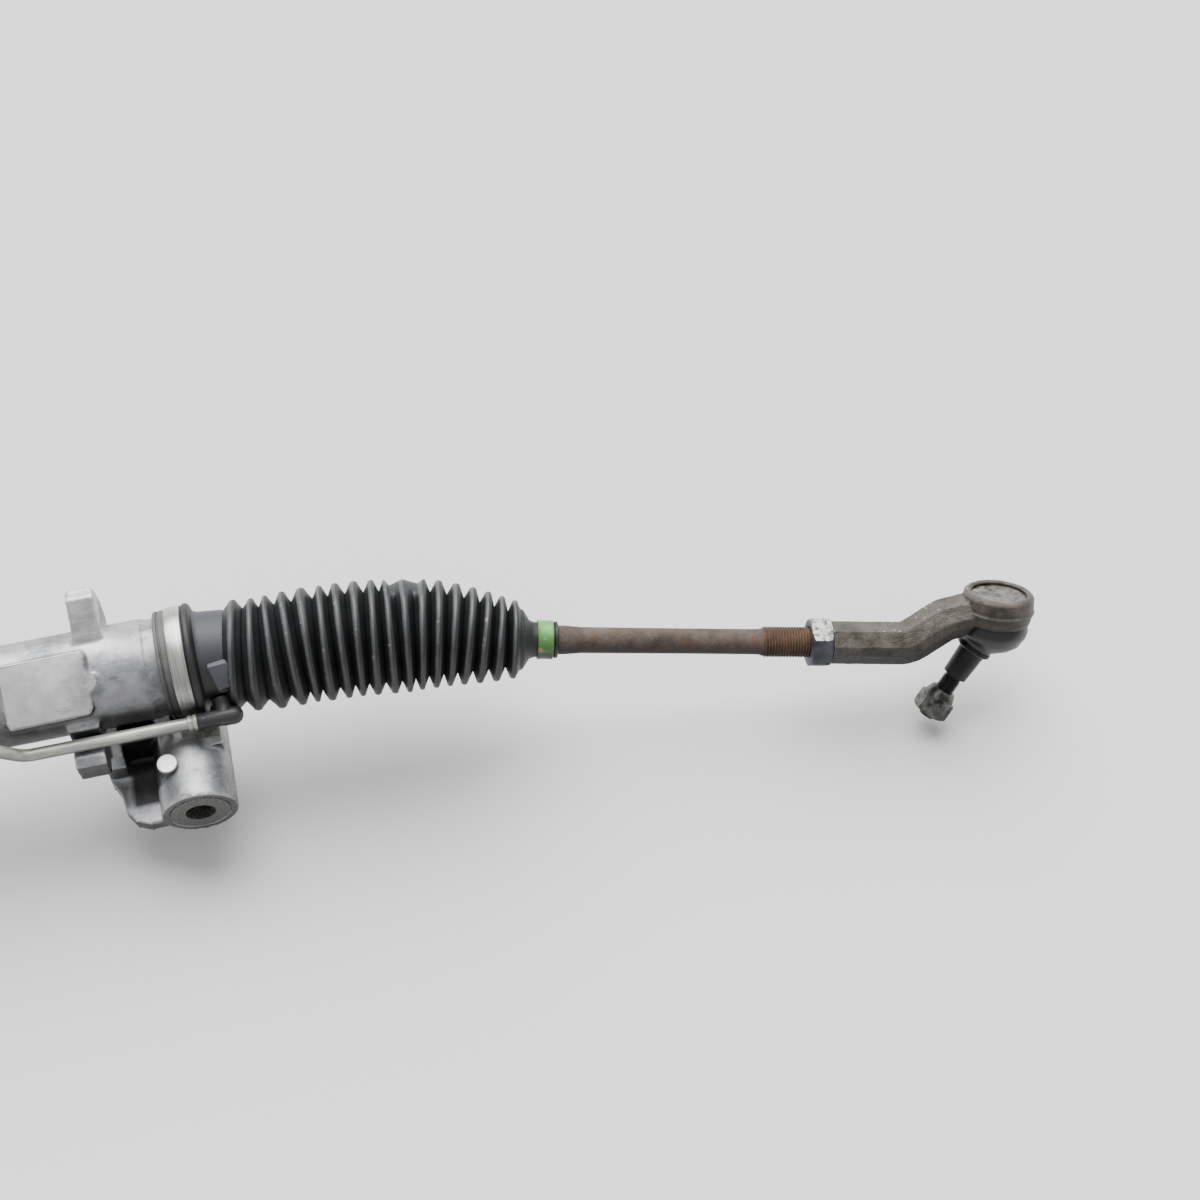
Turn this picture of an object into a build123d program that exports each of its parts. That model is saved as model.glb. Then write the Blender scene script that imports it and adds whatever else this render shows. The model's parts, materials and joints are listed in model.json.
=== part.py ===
"""Rack and pinion steering gear with both tie rods, in millimetres.

Frame: X runs along the rack, Z is up, and the two mounting bores run along Y. The origin is midway
between the two mounting bores, on the machined faces of their bosses, which face -Y.
"""

import os
from math import acos, cos, pi, radians, sin, sqrt, tan

from build123d import *

# ---------------------------------------------------------------- driving dimensions
MOUNT_SPACING = 490.0  # between the two mounting bores
MOUNT_BORE_R = 7.5
MOUNT_LENGTH = 46.0
RACK_Y = 67.5  # rack axis behind the boss faces
RACK_Z = 33.5  # rack axis above the mounting bores
TRAVEL = 64.0  # rack travel each way from straight ahead

CLAMP_X = MOUNT_SPACING / 2 + 5.0  # middle of each large boot clamp
BARREL_R = 25.3
SEAT_R = 24.3  # boot seat at each end of the barrel
SEAT_START_X = CLAMP_X - 16.3
SEAT_END_X = CLAMP_X + 6.0
BORE_R = 15.0
END_BORE_R = 17.0

RACK_R = 12.0
PIVOT_X = CLAMP_X + 63.3  # inner ball centre with the rack in the middle
TIE_SWEEP = 10.08  # tie rod turned towards -Y, degrees
TIE_DROOP = 6.0  # tie rod lowered towards -Z, degrees

# Distances along the tie rod from the inner ball centre.
BOOT_SEAT_START = 112.0
CLIP_START = 115.6
CLIP_END = 123.5
BOOT_LIP_END = 126.0
THREAD_START = 231.6
JAM_NUT_START = 256.4
JAM_NUT_END = 267.8
OUTER_BALL_ALONG = 354.6
OUTER_BALL_RISE = 15.0
STUD_TILT = 28.5  # ball stud leans inboard from the socket axis, degrees

RUNNING = 0.05  # radial running clearance
SLIP = 0.1  # clearance of fixed pieces that are pushed or screwed together

# Pinion and rack teeth.
MODULE = 2.0
PINION_TEETH = 8
PRESSURE = radians(20)
SHIFT = 0.53  # profile shift, which keeps the small pinion from being undercut
PINION_X = -120.0
PITCH_R = MODULE * PINION_TEETH / 2
PINION_TIP_R = 10.5
PINION_ROOT_R = PITCH_R - MODULE * (1.25 - SHIFT)
RACK_TIP_Y = -9.5  # tooth tips, measured from the rack axis
PINION_Y = RACK_TIP_Y - (PITCH_R + SHIFT * MODULE - MODULE)  # pinion axis from the rack axis
TOOTH_PITCH = pi * MODULE
BACKLASH = 0.12
RACK_TEETH_EACH_WAY = 13

os.makedirs("parts", exist_ok=True)


# ---------------------------------------------------------------- frames and directions
def unit(vector):
    """The vector at length one."""
    return vector / vector.length


rack_centre = Vector(0, RACK_Y, RACK_Z)
pivot = Vector(PIVOT_X, RACK_Y, RACK_Z)
tie_direction = Vector(
    cos(radians(TIE_DROOP)) * cos(radians(TIE_SWEEP)),
    -cos(radians(TIE_DROOP)) * sin(radians(TIE_SWEEP)),
    -sin(radians(TIE_DROOP)),
)
# The outer socket opens at right angles to the tie rod, its cap towards +Y and +Z.
cap_lean = Vector(0.187, 0.574, 0.797)
socket_direction = unit(cap_lean - tie_direction * cap_lean.dot(tie_direction))
side_direction = tie_direction.cross(socket_direction)
outer_ball = pivot + tie_direction * OUTER_BALL_ALONG + socket_direction * OUTER_BALL_RISE
stud_direction = socket_direction * -cos(radians(STUD_TILT)) + tie_direction * -sin(radians(STUD_TILT))

rack_line = Plane(origin=rack_centre, x_dir=(1, 0, 0), z_dir=(0, -1, 0))
pivot_line = Plane(origin=pivot, x_dir=(1, 0, 0), z_dir=(0, -1, 0))
tie_line = Plane(origin=pivot, x_dir=tie_direction, z_dir=side_direction)
socket_line = Plane(origin=outer_ball, x_dir=socket_direction, z_dir=side_direction)
stud_line = Plane(origin=outer_ball, x_dir=stud_direction, z_dir=side_direction)
pinion_line = Plane(origin=(PINION_X, RACK_Y + PINION_Y, RACK_Z), x_dir=(0, 0, 1), z_dir=(0, 1, 0))
yoke_line = Plane(origin=(PINION_X, RACK_Y, RACK_Z), x_dir=(0, 1, 0), z_dir=(1, 0, 0))


def across_rack(x):
    """Plane square to the rack at x, its X along +Y and its Y along +Z."""
    return Plane(origin=(x, RACK_Y, RACK_Z), x_dir=(0, 1, 0), z_dir=(1, 0, 0))


def turn(plane, points, mode=Mode.ADD):
    """Turn a closed outline of (along, radius) points about the plane's X direction."""
    with BuildSketch(plane) as outline:
        with BuildLine():
            Polyline(*points, close=True)
        make_face()
    revolve(outline.sketch, axis=Axis(plane.origin, plane.x_dir), mode=mode)


def tube(plane, start, end, outer, inner=0.0):
    """Turn a plain ring or rod from start to end along the plane's X direction."""
    turn(plane, [(start, inner), (end, inner), (end, outer), (start, outer)])


def bore(plane, start, end, radius):
    """Cut a round hole from start to end along the plane's X direction."""
    turn(plane, [(start, 0), (end, 0), (end, radius), (start, radius)], mode=Mode.SUBTRACT)


def slab(plane, points, half_thickness, mode=Mode.ADD):
    """Extrude a closed outline both ways from its plane."""
    with BuildSketch(plane) as outline:
        with BuildLine():
            Polyline(*points, close=True)
        make_face()
    extrude(outline.sketch, amount=half_thickness, both=True, mode=mode)


def ball(plane, radius, mode=Mode.ADD):
    """A whole ball about the plane's origin, its poles on the plane's X direction."""
    with BuildSketch(plane) as half:
        with BuildLine():
            CenterArc((0, 0), radius, 0, 180)
            Line((-radius, 0), (radius, 0))
        make_face()
    revolve(half.sketch, axis=Axis(plane.origin, plane.x_dir), mode=mode)


def hexagon(plane, start, end, across_flats, corner_angle=0.0):
    """A hexagonal bar with chamfered corners at both ends, along the plane's X direction."""
    corner_r = across_flats / sqrt(3)
    chamfer_size = corner_r - across_flats / 2 * 0.97
    base = Plane(
        origin=plane.origin + plane.x_dir * start,
        x_dir=plane.z_dir.rotate(Axis((0, 0, 0), plane.x_dir), corner_angle),
        z_dir=plane.x_dir,
    )
    with BuildSketch(base) as outline:
        RegularPolygon(radius=corner_r, side_count=6)
    extrude(outline.sketch, amount=end - start)
    turn(
        plane,
        [
            (start, 0),
            (end, 0),
            (end, corner_r - chamfer_size),
            (end - chamfer_size * 0.6, corner_r),
            (start + chamfer_size * 0.6, corner_r),
            (start, corner_r - chamfer_size),
        ],
        mode=Mode.INTERSECT,
    )


def save(builder, name):
    """Write one piece under its node name."""
    builder.part.label = name
    export_step(builder.part, f"parts/{name}.step")


def save_both_ends(builder, name):
    """Write the piece of the right end and its mirror image for the left end."""
    save(builder, name + "_right")
    with BuildPart() as left:
        mirror(builder.part, about=Plane.YZ)
    save(left, name + "_left")


# ---------------------------------------------------------------- housing casting
STOP_X = PIVOT_X - 37.0 - TRAVEL - 0.2  # shoulder that the stop washer meets at full travel
EAR_X = 208.6
LUG_X = 198.5
TOWER_R = 23.0
TOWER_HEAD_R = 28.0
TOWER_TOP = 40.0
TOWER_BOTTOM = -38.0
BEARING_R = 17.5
BEARING_START = 16.0
BEARING_END = 26.0
YOKE_R = 15.0
YOKE_TUBE_R = 20.0
YOKE_TUBE_END = 46.0
BOLT_CIRCLE_R = 23.5
BOSS_R = 19.1
SLEEVE_R = 15.0
CUFF_ROOM_R = 29.8
PIPE_R = 3.175
PIPE_Y = -33.5  # breather pipe beside the rack axis
PIPE_Z = -3.2
PLATE_LOW = -16.0
PLATE_HIGH = -8.0


def add_boss_bracket(side):
    """One mounting boss with the webbed foot that carries it on the barrel."""
    face = Plane(origin=(side * MOUNT_SPACING / 2, 0, 0), x_dir=(1, 0, 0), z_dir=(0, 1, 0))
    with BuildSketch(face) as boss:
        Circle(BOSS_R)
    extrude(boss.sketch, amount=MOUNT_LENGTH)
    foot = [
        (202, 64),
        (202, 31),
        (206.5, 22),
        (207.5, 13),
        (212, 6),
        (219, 3),
        (245, 4),
        (262, 16),
        (262, 64),
    ]
    foot_plane = Plane.XY.offset((PLATE_LOW + PLATE_HIGH) / 2)
    slab(foot_plane, [(side * x, y) for x, y in foot], (PLATE_HIGH - PLATE_LOW) / 2)
    # The outer wall, the inner rib, the back wall and the block that joins the boss to the barrel.
    wall = [(64, PLATE_LOW), (30, PLATE_LOW), (32, 2), (43, 19), (64, 24)]
    slab(Plane.YZ.offset(side * 207.0), wall, 5.0)
    rib = [(64, PLATE_LOW), (14, PLATE_LOW), (14, 6), (44, 20), (64, 24)]
    slab(Plane.YZ.offset(side * 233.5), rib, 3.2)
    back = [(64, PLATE_LOW), (56, PLATE_LOW), (56, 24), (64, 24)]
    slab(Plane.YZ.offset(side * 219.0), back, 17.0)
    block = [(64, PLATE_LOW), (26, PLATE_LOW), (27, 17), (38, 20), (64, 24)]
    slab(Plane.YZ.offset(side * 250.2), block, 12.0)
    # A round cast pad stands beside the rib.
    with BuildSketch(Plane.XY.offset(PLATE_LOW)) as pad:
        with Locations((side * 231.6, 27.5)):
            Circle(5.3)
    extrude(pad.sketch, amount=5.5 - PLATE_LOW)


with BuildPart() as gear_housing:
    turn(
        rack_line,
        [
            (-SEAT_END_X, 0),
            (SEAT_END_X, 0),
            (SEAT_END_X, SEAT_R - 1),
            (SEAT_END_X - 1, SEAT_R),
            (SEAT_START_X, SEAT_R),
            (SEAT_START_X, BARREL_R),
            (-SEAT_START_X, BARREL_R),
            (-SEAT_START_X, SEAT_R),
            (1 - SEAT_END_X, SEAT_R),
            (-SEAT_END_X, SEAT_R - 1),
        ],
    )
    for end in (1, -1):
        add_boss_bracket(end)
    # Cast ear above the barrel at the right end.
    ear = [
        (2, 14),
        (5, 24.4),
        (25.5, 36.2),
        (30.5, 34.5),
        (34.5, 26),
        (36, 14),
        (34, 2),
        (24, -6),
        (14, -2),
    ]
    slab(across_rack(EAR_X), ear, 6.7)
    # Lug with a saddle that the breather pipe rests on.
    lug = [
        (-14, -24),
        (-42, -24),
        (-43, -9),
        (-39, -6.8),
        (-29, -6.6),
        (-28.2, 2),
        (-22, 4),
        (-10, -8),
    ]
    slab(across_rack(LUG_X), lug, 7.6)
    # Flat raised pad on the upper front of the barrel.
    pad_plane = Plane(origin=rack_centre, x_dir=(1, 0, 0), z_dir=(0, -sin(radians(30)), cos(radians(30))))
    pad_outline = [
        (164.5, 14.4),
        (205.5, 14.8),
        (207, 12),
        (206.6, 6.5),
        (207.8, 3.4),
        (210.6, 2.2),
        (211.6, -1),
        (210.4, -4.2),
        (206.8, -7.2),
        (206.4, -14),
        (204, -17),
        (166, -17.4),
        (164.5, -14),
    ]
    slab(pad_plane.offset(21.0), pad_outline, 5.0)
    # Pinion tower and yoke tube.
    turn(
        pinion_line,
        [
            (TOWER_BOTTOM, 0),
            (TOWER_TOP, 0),
            (TOWER_TOP, TOWER_HEAD_R),
            (TOWER_TOP - 16, TOWER_HEAD_R),
            (TOWER_TOP - 22, TOWER_R),
            (TOWER_BOTTOM, TOWER_R),
        ],
    )
    tube(yoke_line, 5, YOKE_TUBE_END, YOKE_TUBE_R)
    # Bores: rack, counterbored ends, pinion, yoke, mounting sleeves.
    bore(rack_line, -STOP_X, STOP_X, BORE_R)
    for end in (1, -1):
        bore(rack_line, end * STOP_X, end * (SEAT_END_X + 1), END_BORE_R)
        # Clear room around the boot's cuff and past the end of the barrel.
        cuff_room = [
            (CLAMP_X - 11.2, SEAT_R),
            (SEAT_END_X, SEAT_R),
            (SEAT_END_X, 0),
            (SEAT_END_X + 16, 0),
            (SEAT_END_X + 16, CUFF_ROOM_R),
            (CLAMP_X - 11.2, CUFF_ROOM_R),
        ]
        turn(rack_line, [(end * x, radius) for x, radius in cuff_room], mode=Mode.SUBTRACT)
        boss_face = Plane(origin=(end * MOUNT_SPACING / 2, -1, 0), x_dir=(1, 0, 0), z_dir=(0, 1, 0))
        with BuildSketch(boss_face) as hole:
            Circle(SLEEVE_R)
        extrude(hole.sketch, amount=MOUNT_LENGTH + 2, mode=Mode.SUBTRACT)
    bore(pinion_line, -15, BEARING_START, PINION_TIP_R + 1)
    bore(pinion_line, BEARING_START, TOWER_TOP + 1, BEARING_R)
    bore(pinion_line, -29, -15, 9.0)
    bore(pinion_line, TOWER_BOTTOM - 1, -29, 13.0)
    bore(yoke_line, 0, YOKE_TUBE_END + 1, YOKE_R)
    with BuildSketch(Plane(origin=pinion_line.origin + Vector(0, 0, TOWER_TOP), z_dir=(0, 0, 1))) as taps:
        with PolarLocations(BOLT_CIRCLE_R, 3, start_angle=90):
            Circle(3.0)
    extrude(taps.sketch, amount=-14, mode=Mode.SUBTRACT)
save(gear_housing, "gear_housing")

with BuildPart() as mount_sleeve:
    sleeve_line = Plane(origin=(MOUNT_SPACING / 2, 0, 0), x_dir=(0, 1, 0), z_dir=(1, 0, 0))
    tube(sleeve_line, 0, MOUNT_LENGTH, SLEEVE_R, MOUNT_BORE_R)
save_both_ends(mount_sleeve, "mount_sleeve")

with BuildPart() as rack_bush:
    turn(
        rack_line,
        [
            (183, RACK_R + RUNNING),
            (200, RACK_R + RUNNING),
            (200, BORE_R),
            (183, BORE_R),
        ],
    )
save(rack_bush, "rack_bush")

# ---------------------------------------------------------------- pinion, its bearings and cover
TEETH_LOW = -13.0
TEETH_HIGH = 13.0
SHAFT_R = 8.3
SPLINE_R = 7.9
SHAFT_TOP = 80.0
JOURNAL_R = 6.0


def involute(angle):
    """Involute function of a pressure angle in radians."""
    return tan(angle) - angle


def pinion_outline():
    """Closed outline of the pinion, one tooth space facing the rack."""
    base_r = PITCH_R * cos(PRESSURE)
    thickness = MODULE * (pi / 2 + 2 * SHIFT * tan(PRESSURE))
    flank_steps = 7
    points = []
    for tooth in range(PINION_TEETH):
        middle = 2 * pi * (tooth + 0.5) / PINION_TEETH + pi / 2
        flank = []
        for step in range(flank_steps):
            radius = base_r + (PINION_TIP_R - base_r) * step / (flank_steps - 1)
            half = thickness / (2 * PITCH_R) + involute(PRESSURE) - involute(acos(base_r / radius))
            flank.append((radius, half))
        flank.insert(0, (PINION_ROOT_R, flank[0][1]))
        for radius, half in flank:
            points.append((radius * cos(middle - half), radius * sin(middle - half)))
        points.append((PINION_TIP_R * cos(middle), PINION_TIP_R * sin(middle)))
        for radius, half in reversed(flank):
            points.append((radius * cos(middle + half), radius * sin(middle + half)))
    return points


with BuildPart() as pinion_shaft:
    with BuildSketch(Plane(origin=pinion_line.origin + Vector(0, 0, TEETH_LOW), z_dir=(0, 0, 1))):
        with BuildLine():
            Polyline(*pinion_outline(), close=True)
        make_face()
    extrude(amount=TEETH_HIGH - TEETH_LOW)
    turn(
        pinion_line,
        [
            (-35, 0),
            (-35, 4.2),
            (-34.4, 4.9),
            (-29.3, 4.9),
            (-29.3, JOURNAL_R),
            (-14, JOURNAL_R),
            (TEETH_LOW + 1, PINION_ROOT_R - 0.2),
            (TEETH_HIGH - 1, PINION_ROOT_R - 0.2),
            (TEETH_HIGH + 0.5, 9.6),
            (BEARING_START, 9.6),
            (BEARING_START, 8.5),
            (BEARING_END + 0.5, 8.5),
            (BEARING_END + 1, SHAFT_R),
            (51, SHAFT_R),
            (52, SPLINE_R),
            (54, SPLINE_R),
            (55.5, 6.6),
            (58.5, 6.6),
            (60, SPLINE_R),
            (SHAFT_TOP - 1, SPLINE_R),
            (SHAFT_TOP, SPLINE_R - 1),
            (SHAFT_TOP, 0),
        ],
    )
save(pinion_shaft, "pinion_shaft")

BALL_CIRCLE_R = 13.0
BEARING_BALL_R = 2.4
BEARING_MIDDLE = (BEARING_START + BEARING_END) / 2
bearing_plane = Plane(origin=pinion_line.origin + Vector(0, 0, BEARING_MIDDLE), z_dir=(0, 0, 1))

with BuildPart() as pinion_bearing_outer:
    tube(pinion_line, BEARING_START, BEARING_END, BEARING_R, 14.6)
    with Locations(bearing_plane):
        Torus(BALL_CIRCLE_R, BEARING_BALL_R + RUNNING, mode=Mode.SUBTRACT)
save(pinion_bearing_outer, "pinion_bearing_outer")

with BuildPart() as pinion_bearing_inner:
    tube(pinion_line, BEARING_START, BEARING_END, 11.4, 8.5)
    with Locations(bearing_plane):
        Torus(BALL_CIRCLE_R, BEARING_BALL_R + RUNNING, mode=Mode.SUBTRACT)
save(pinion_bearing_inner, "pinion_bearing_inner")

with BuildPart() as pinion_bearing_balls:
    with Locations(bearing_plane):
        with PolarLocations(BALL_CIRCLE_R, 9):
            Sphere(BEARING_BALL_R)
save(pinion_bearing_balls, "pinion_bearing_balls")

with BuildPart() as pinion_bush:
    tube(pinion_line, -29, -15.5, 9.0, JOURNAL_R + RUNNING)
save(pinion_bush, "pinion_bush")

with BuildPart() as pinion_nut:
    hexagon(pinion_line, -34.0, -29.5, 16)
    bore(pinion_line, -35, -29, 4.9)
save(pinion_nut, "pinion_nut")

with BuildPart() as pinion_plug:
    turn(
        pinion_line,
        [(TOWER_BOTTOM, 0), (TOWER_BOTTOM, 13), (-35.4, 13), (-35.4, 12), (-37, 12), (-37, 0)],
    )
save(pinion_plug, "pinion_plug")

COVER_TOP = TOWER_TOP + 5
with BuildPart() as pinion_cover:
    turn(
        pinion_line,
        [
            (BEARING_END + 0.1, 12.4),
            (BEARING_END + 0.1, BEARING_R - 0.05),
            (TOWER_TOP, BEARING_R - 0.05),
            (TOWER_TOP, TOWER_HEAD_R - 0.5),
            (COVER_TOP, TOWER_HEAD_R - 0.5),
            (COVER_TOP, 16.5),
            (COVER_TOP + 4, 15.5),
            (COVER_TOP + 4, 11.5),
            (36, 11.5),
            (36, 12.4),
        ],
    )
    with BuildSketch(Plane(origin=pinion_line.origin + Vector(0, 0, COVER_TOP), z_dir=(0, 0, 1))) as holes:
        with PolarLocations(BOLT_CIRCLE_R, 3, start_angle=90):
            Circle(3.3)
    extrude(holes.sketch, amount=-6, mode=Mode.SUBTRACT)
save(pinion_cover, "pinion_cover")

with BuildPart() as cover_bolts:
    bolt_plane = Plane(origin=pinion_line.origin + Vector(0, 0, COVER_TOP), z_dir=(0, 0, 1))
    with BuildSketch(bolt_plane):
        with PolarLocations(BOLT_CIRCLE_R, 3, start_angle=90):
            RegularPolygon(radius=5, side_count=6, major_radius=False)
    extrude(amount=4.2)
    with BuildSketch(bolt_plane):
        with PolarLocations(BOLT_CIRCLE_R, 3, start_angle=90):
            Circle(2.95)
    extrude(amount=-17)
save(cover_bolts, "cover_bolts")

with BuildPart() as input_seal:
    turn(
        pinion_line,
        [
            (38, 11.5),
            (38, SHAFT_R + RUNNING),
            (41, SHAFT_R + RUNNING),
            (43, 9.2),
            (46, SHAFT_R + RUNNING),
            (47.5, SHAFT_R + RUNNING),
            (47.5, 11.5),
        ],
    )
save(input_seal, "input_seal")

# ---------------------------------------------------------------- yoke, spring and adjuster
with BuildPart() as rack_yoke:
    tube(yoke_line, 3.5, 27, YOKE_R - RUNNING)
    bore(rack_line, PINION_X - 20, PINION_X + 20, RACK_R + RUNNING)
    bore(yoke_line, 20, 28, 9.0)
save(rack_yoke, "rack_yoke")

with BuildPart() as yoke_spring:
    turn(yoke_line, [(27.1, 14.0), (27.1, 13.0), (29.4, 8.0), (30.6, 8.0), (28.3, 14.0)])
save(yoke_spring, "yoke_spring")

with BuildPart() as yoke_plug:
    tube(yoke_line, 30.8, 53, YOKE_R)
    hex_recess = Plane(origin=yoke_line.origin + Vector(0, 53, 0), x_dir=(1, 0, 0), z_dir=(0, 1, 0))
    with BuildSketch(hex_recess) as recess:
        RegularPolygon(radius=8.5, side_count=6, major_radius=False)
    extrude(recess.sketch, amount=-9, mode=Mode.SUBTRACT)
save(yoke_plug, "yoke_plug")

with BuildPart() as yoke_lock_nut:
    hexagon(yoke_line, YOKE_TUBE_END, YOKE_TUBE_END + 5.5, 36)
    bore(yoke_line, YOKE_TUBE_END - 1, YOKE_TUBE_END + 7, YOKE_R)
save(yoke_lock_nut, "yoke_lock_nut")

# ---------------------------------------------------------------- rack bar and inner ball joints
SOCKET_BACK = -34.0
SOCKET_R = 16.0
INNER_BALL_R = 12.0
INNER_SEAT_R = 14.15
RACK_END_X = PIVOT_X + SOCKET_BACK - 3.0
SPIGOT_R = 7.0
SPIGOT_LENGTH = 18.0


def rack_tooth_thickness(from_pinion):
    """Thickness of a rack tooth at a distance from the pinion axis."""
    at_pitch_line = TOOTH_PITCH - MODULE * (pi / 2 + 2 * SHIFT * tan(PRESSURE))
    return at_pitch_line + 2 * (from_pinion - PITCH_R) * tan(PRESSURE) - BACKLASH


with BuildPart() as rack_bar:
    tube(rack_line, -RACK_END_X, RACK_END_X, RACK_R)
    for end in (1, -1):
        bore(rack_line, end * (RACK_END_X - SPIGOT_LENGTH - 2), end * (RACK_END_X + 1), SPIGOT_R + SLIP)
    tip = RACK_TIP_Y
    root = PINION_Y + PINION_TIP_R + 0.4
    tip_gap = TOOTH_PITCH - rack_tooth_thickness(tip - PINION_Y)
    root_gap = TOOTH_PITCH - rack_tooth_thickness(root - PINION_Y)
    toothed_half = (RACK_TEETH_EACH_WAY + 0.5) * TOOTH_PITCH
    rack_plan = Plane(origin=(PINION_X, RACK_Y, RACK_Z), z_dir=(0, 0, 1))
    slab(
        rack_plan,
        [
            (-toothed_half, tip),
            (toothed_half, tip),
            (toothed_half + 4, -RACK_R),
            (-toothed_half - 4, -RACK_R),
        ],
        RACK_R,
        mode=Mode.SUBTRACT,
    )
    with BuildSketch(rack_plan):
        for space in range(-RACK_TEETH_EACH_WAY, RACK_TEETH_EACH_WAY):
            middle = (space + 0.5) * TOOTH_PITCH
            with BuildLine():
                Polyline(
                    (middle - tip_gap / 2, tip),
                    (middle - root_gap / 2, root),
                    (middle + root_gap / 2, root),
                    (middle + tip_gap / 2, tip),
                    (middle + tip_gap / 2, tip - 1),
                    (middle - tip_gap / 2, tip - 1),
                    close=True,
                )
            make_face()
    extrude(amount=RACK_R, both=True, mode=Mode.SUBTRACT)
save(rack_bar, "rack_bar")

with BuildPart() as stop_washer:
    tube(pivot_line, SOCKET_BACK - 3, SOCKET_BACK, SOCKET_R, SPIGOT_R + SLIP)
save_both_ends(stop_washer, "stop_washer")

with BuildPart() as inner_socket:
    turn(
        pivot_line,
        [
            (SOCKET_BACK - SPIGOT_LENGTH, 0),
            (SOCKET_BACK - SPIGOT_LENGTH, SPIGOT_R - 1),
            (SOCKET_BACK - SPIGOT_LENGTH + 1, SPIGOT_R),
            (SOCKET_BACK, SPIGOT_R),
            (SOCKET_BACK, 13.5),
            (SOCKET_BACK + 1, 14.5),
            (SOCKET_BACK + 12, 14.5),
            (SOCKET_BACK + 14, SOCKET_R),
            (4, SOCKET_R),
            (9.2, 13.2),
            (9.2, 0),
        ],
    )
    ball(pivot_line, INNER_SEAT_R + RUNNING, mode=Mode.SUBTRACT)
    # Two flats for the spanner.
    for flat in (1, -1):
        slab(
            Plane(origin=pivot + Vector(SOCKET_BACK + 6, flat * 15, 0), z_dir=(0, 0, 1)),
            [(-5, -2), (5, -2), (5, 2), (-5, 2)],
            20,
            mode=Mode.SUBTRACT,
        )
save_both_ends(inner_socket, "inner_socket")

with BuildPart() as inner_seat:
    ball(pivot_line, INNER_SEAT_R)
    ball(pivot_line, INNER_BALL_R + RUNNING, mode=Mode.SUBTRACT)
    bore(pivot_line, 7.4, 20, 20)
save_both_ends(inner_seat, "inner_seat")

TIE_NECK_R = 5.8
TIE_SHANK_R = 6.2
TIE_ROD_R = 6.6
TIE_SEAT_R = 7.4
TIE_THREAD_R = 7.95
TIE_ROD_END = 300.0
with BuildPart() as tie_rod:
    ball(tie_line, INNER_BALL_R)
    turn(
        tie_line,
        [
            (5, 0),
            (5, TIE_NECK_R),
            (24, TIE_NECK_R),
            (27, TIE_SHANK_R),
            (BOOT_SEAT_START - 3, TIE_SHANK_R),
            (BOOT_SEAT_START, TIE_SEAT_R),
            (BOOT_LIP_END + 4, TIE_SEAT_R),
            (BOOT_LIP_END + 12, TIE_ROD_R),
            (THREAD_START - 2, TIE_ROD_R),
            (THREAD_START, TIE_THREAD_R),
            (TIE_ROD_END - 1.5, TIE_THREAD_R),
            (TIE_ROD_END, TIE_THREAD_R - 1.5),
            (TIE_ROD_END, 0),
        ],
    )
save_both_ends(tie_rod, "tie_rod")

with BuildPart() as jam_nut:
    hexagon(tie_line, JAM_NUT_START, JAM_NUT_END, 24, corner_angle=-27)
    bore(tie_line, JAM_NUT_START - 1, JAM_NUT_END + 1, TIE_THREAD_R)
save_both_ends(jam_nut, "jam_nut")

# ---------------------------------------------------------------- outer ball joints
OUTER_BODY_R = 18.6
OUTER_BODY_LOW = 1.1  # heights along the socket axis from the ball centre
OUTER_BODY_HIGH = 14.1
OUTER_NECK_R = 15.0
OUTER_NECK_LOW = -7.0
OUTER_BALL_R = 10.5
OUTER_SEAT_R = 12.45
CAP_R = 15.4
CAP_LOW = 11.0
CAP_HIGH = 13.0

with BuildPart() as tie_rod_end:
    bend_path = [
        tie_line.from_local_coords(Vector(*point, 0))
        for point in [(JAM_NUT_END + 0.1, 0), (309, 0), (327, 13.5), (OUTER_BALL_ALONG - 8, 19)]
    ]
    with BuildLine() as arm_route:
        FilletPolyline(*bend_path, radius=13)
    section_plane = Plane(origin=bend_path[0], x_dir=side_direction, z_dir=tie_direction)
    with BuildSketch(section_plane) as arm_section:
        with BuildLine():
            Polyline(
                (11.8, 2.2),
                (6.5, 9.4),
                (-6.5, 9.4),
                (-11.8, 2.2),
                (-11.8, -2.2),
                (-6.5, -9.4),
                (6.5, -9.4),
                (11.8, -2.2),
                close=True,
            )
        make_face()
    sweep(arm_section.sketch, path=arm_route.line)
    turn(
        socket_line,
        [
            (OUTER_NECK_LOW, 0),
            (OUTER_NECK_LOW, OUTER_NECK_R),
            (-1, OUTER_NECK_R),
            (-1, OUTER_NECK_R + 2.2),
            (OUTER_BODY_LOW, OUTER_BODY_R - 0.6),
            (9, OUTER_BODY_R),
            (12, OUTER_BODY_R - 0.6),
            (OUTER_BODY_HIGH, OUTER_BODY_R - 2),
            (OUTER_BODY_HIGH, 0),
        ],
    )
    boot_groove = [(-14, OUTER_NECK_R), (-1, OUTER_NECK_R), (-1, 17.4), (-5, 17.4), (-14, 21)]
    turn(socket_line, boot_groove, mode=Mode.SUBTRACT)
    ball(socket_line, OUTER_SEAT_R + SLIP, mode=Mode.SUBTRACT)
    bore(socket_line, 0, CAP_LOW, OUTER_SEAT_R + SLIP)
    bore(socket_line, CAP_LOW, CAP_HIGH, CAP_R)
    bore(socket_line, CAP_HIGH, OUTER_BODY_HIGH + 10, CAP_R - 1.2)
    bore(tie_line, JAM_NUT_END - 1, TIE_ROD_END + 3, TIE_THREAD_R)
save_both_ends(tie_rod_end, "tie_rod_end")

with BuildPart() as end_cap:
    turn(
        socket_line,
        [
            (CAP_LOW, 0),
            (CAP_LOW, CAP_R),
            (CAP_HIGH, CAP_R),
            (CAP_HIGH, 12.5),
            (12.2, 7),
            (12.2, 0),
        ],
    )
save_both_ends(end_cap, "end_cap")

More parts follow.
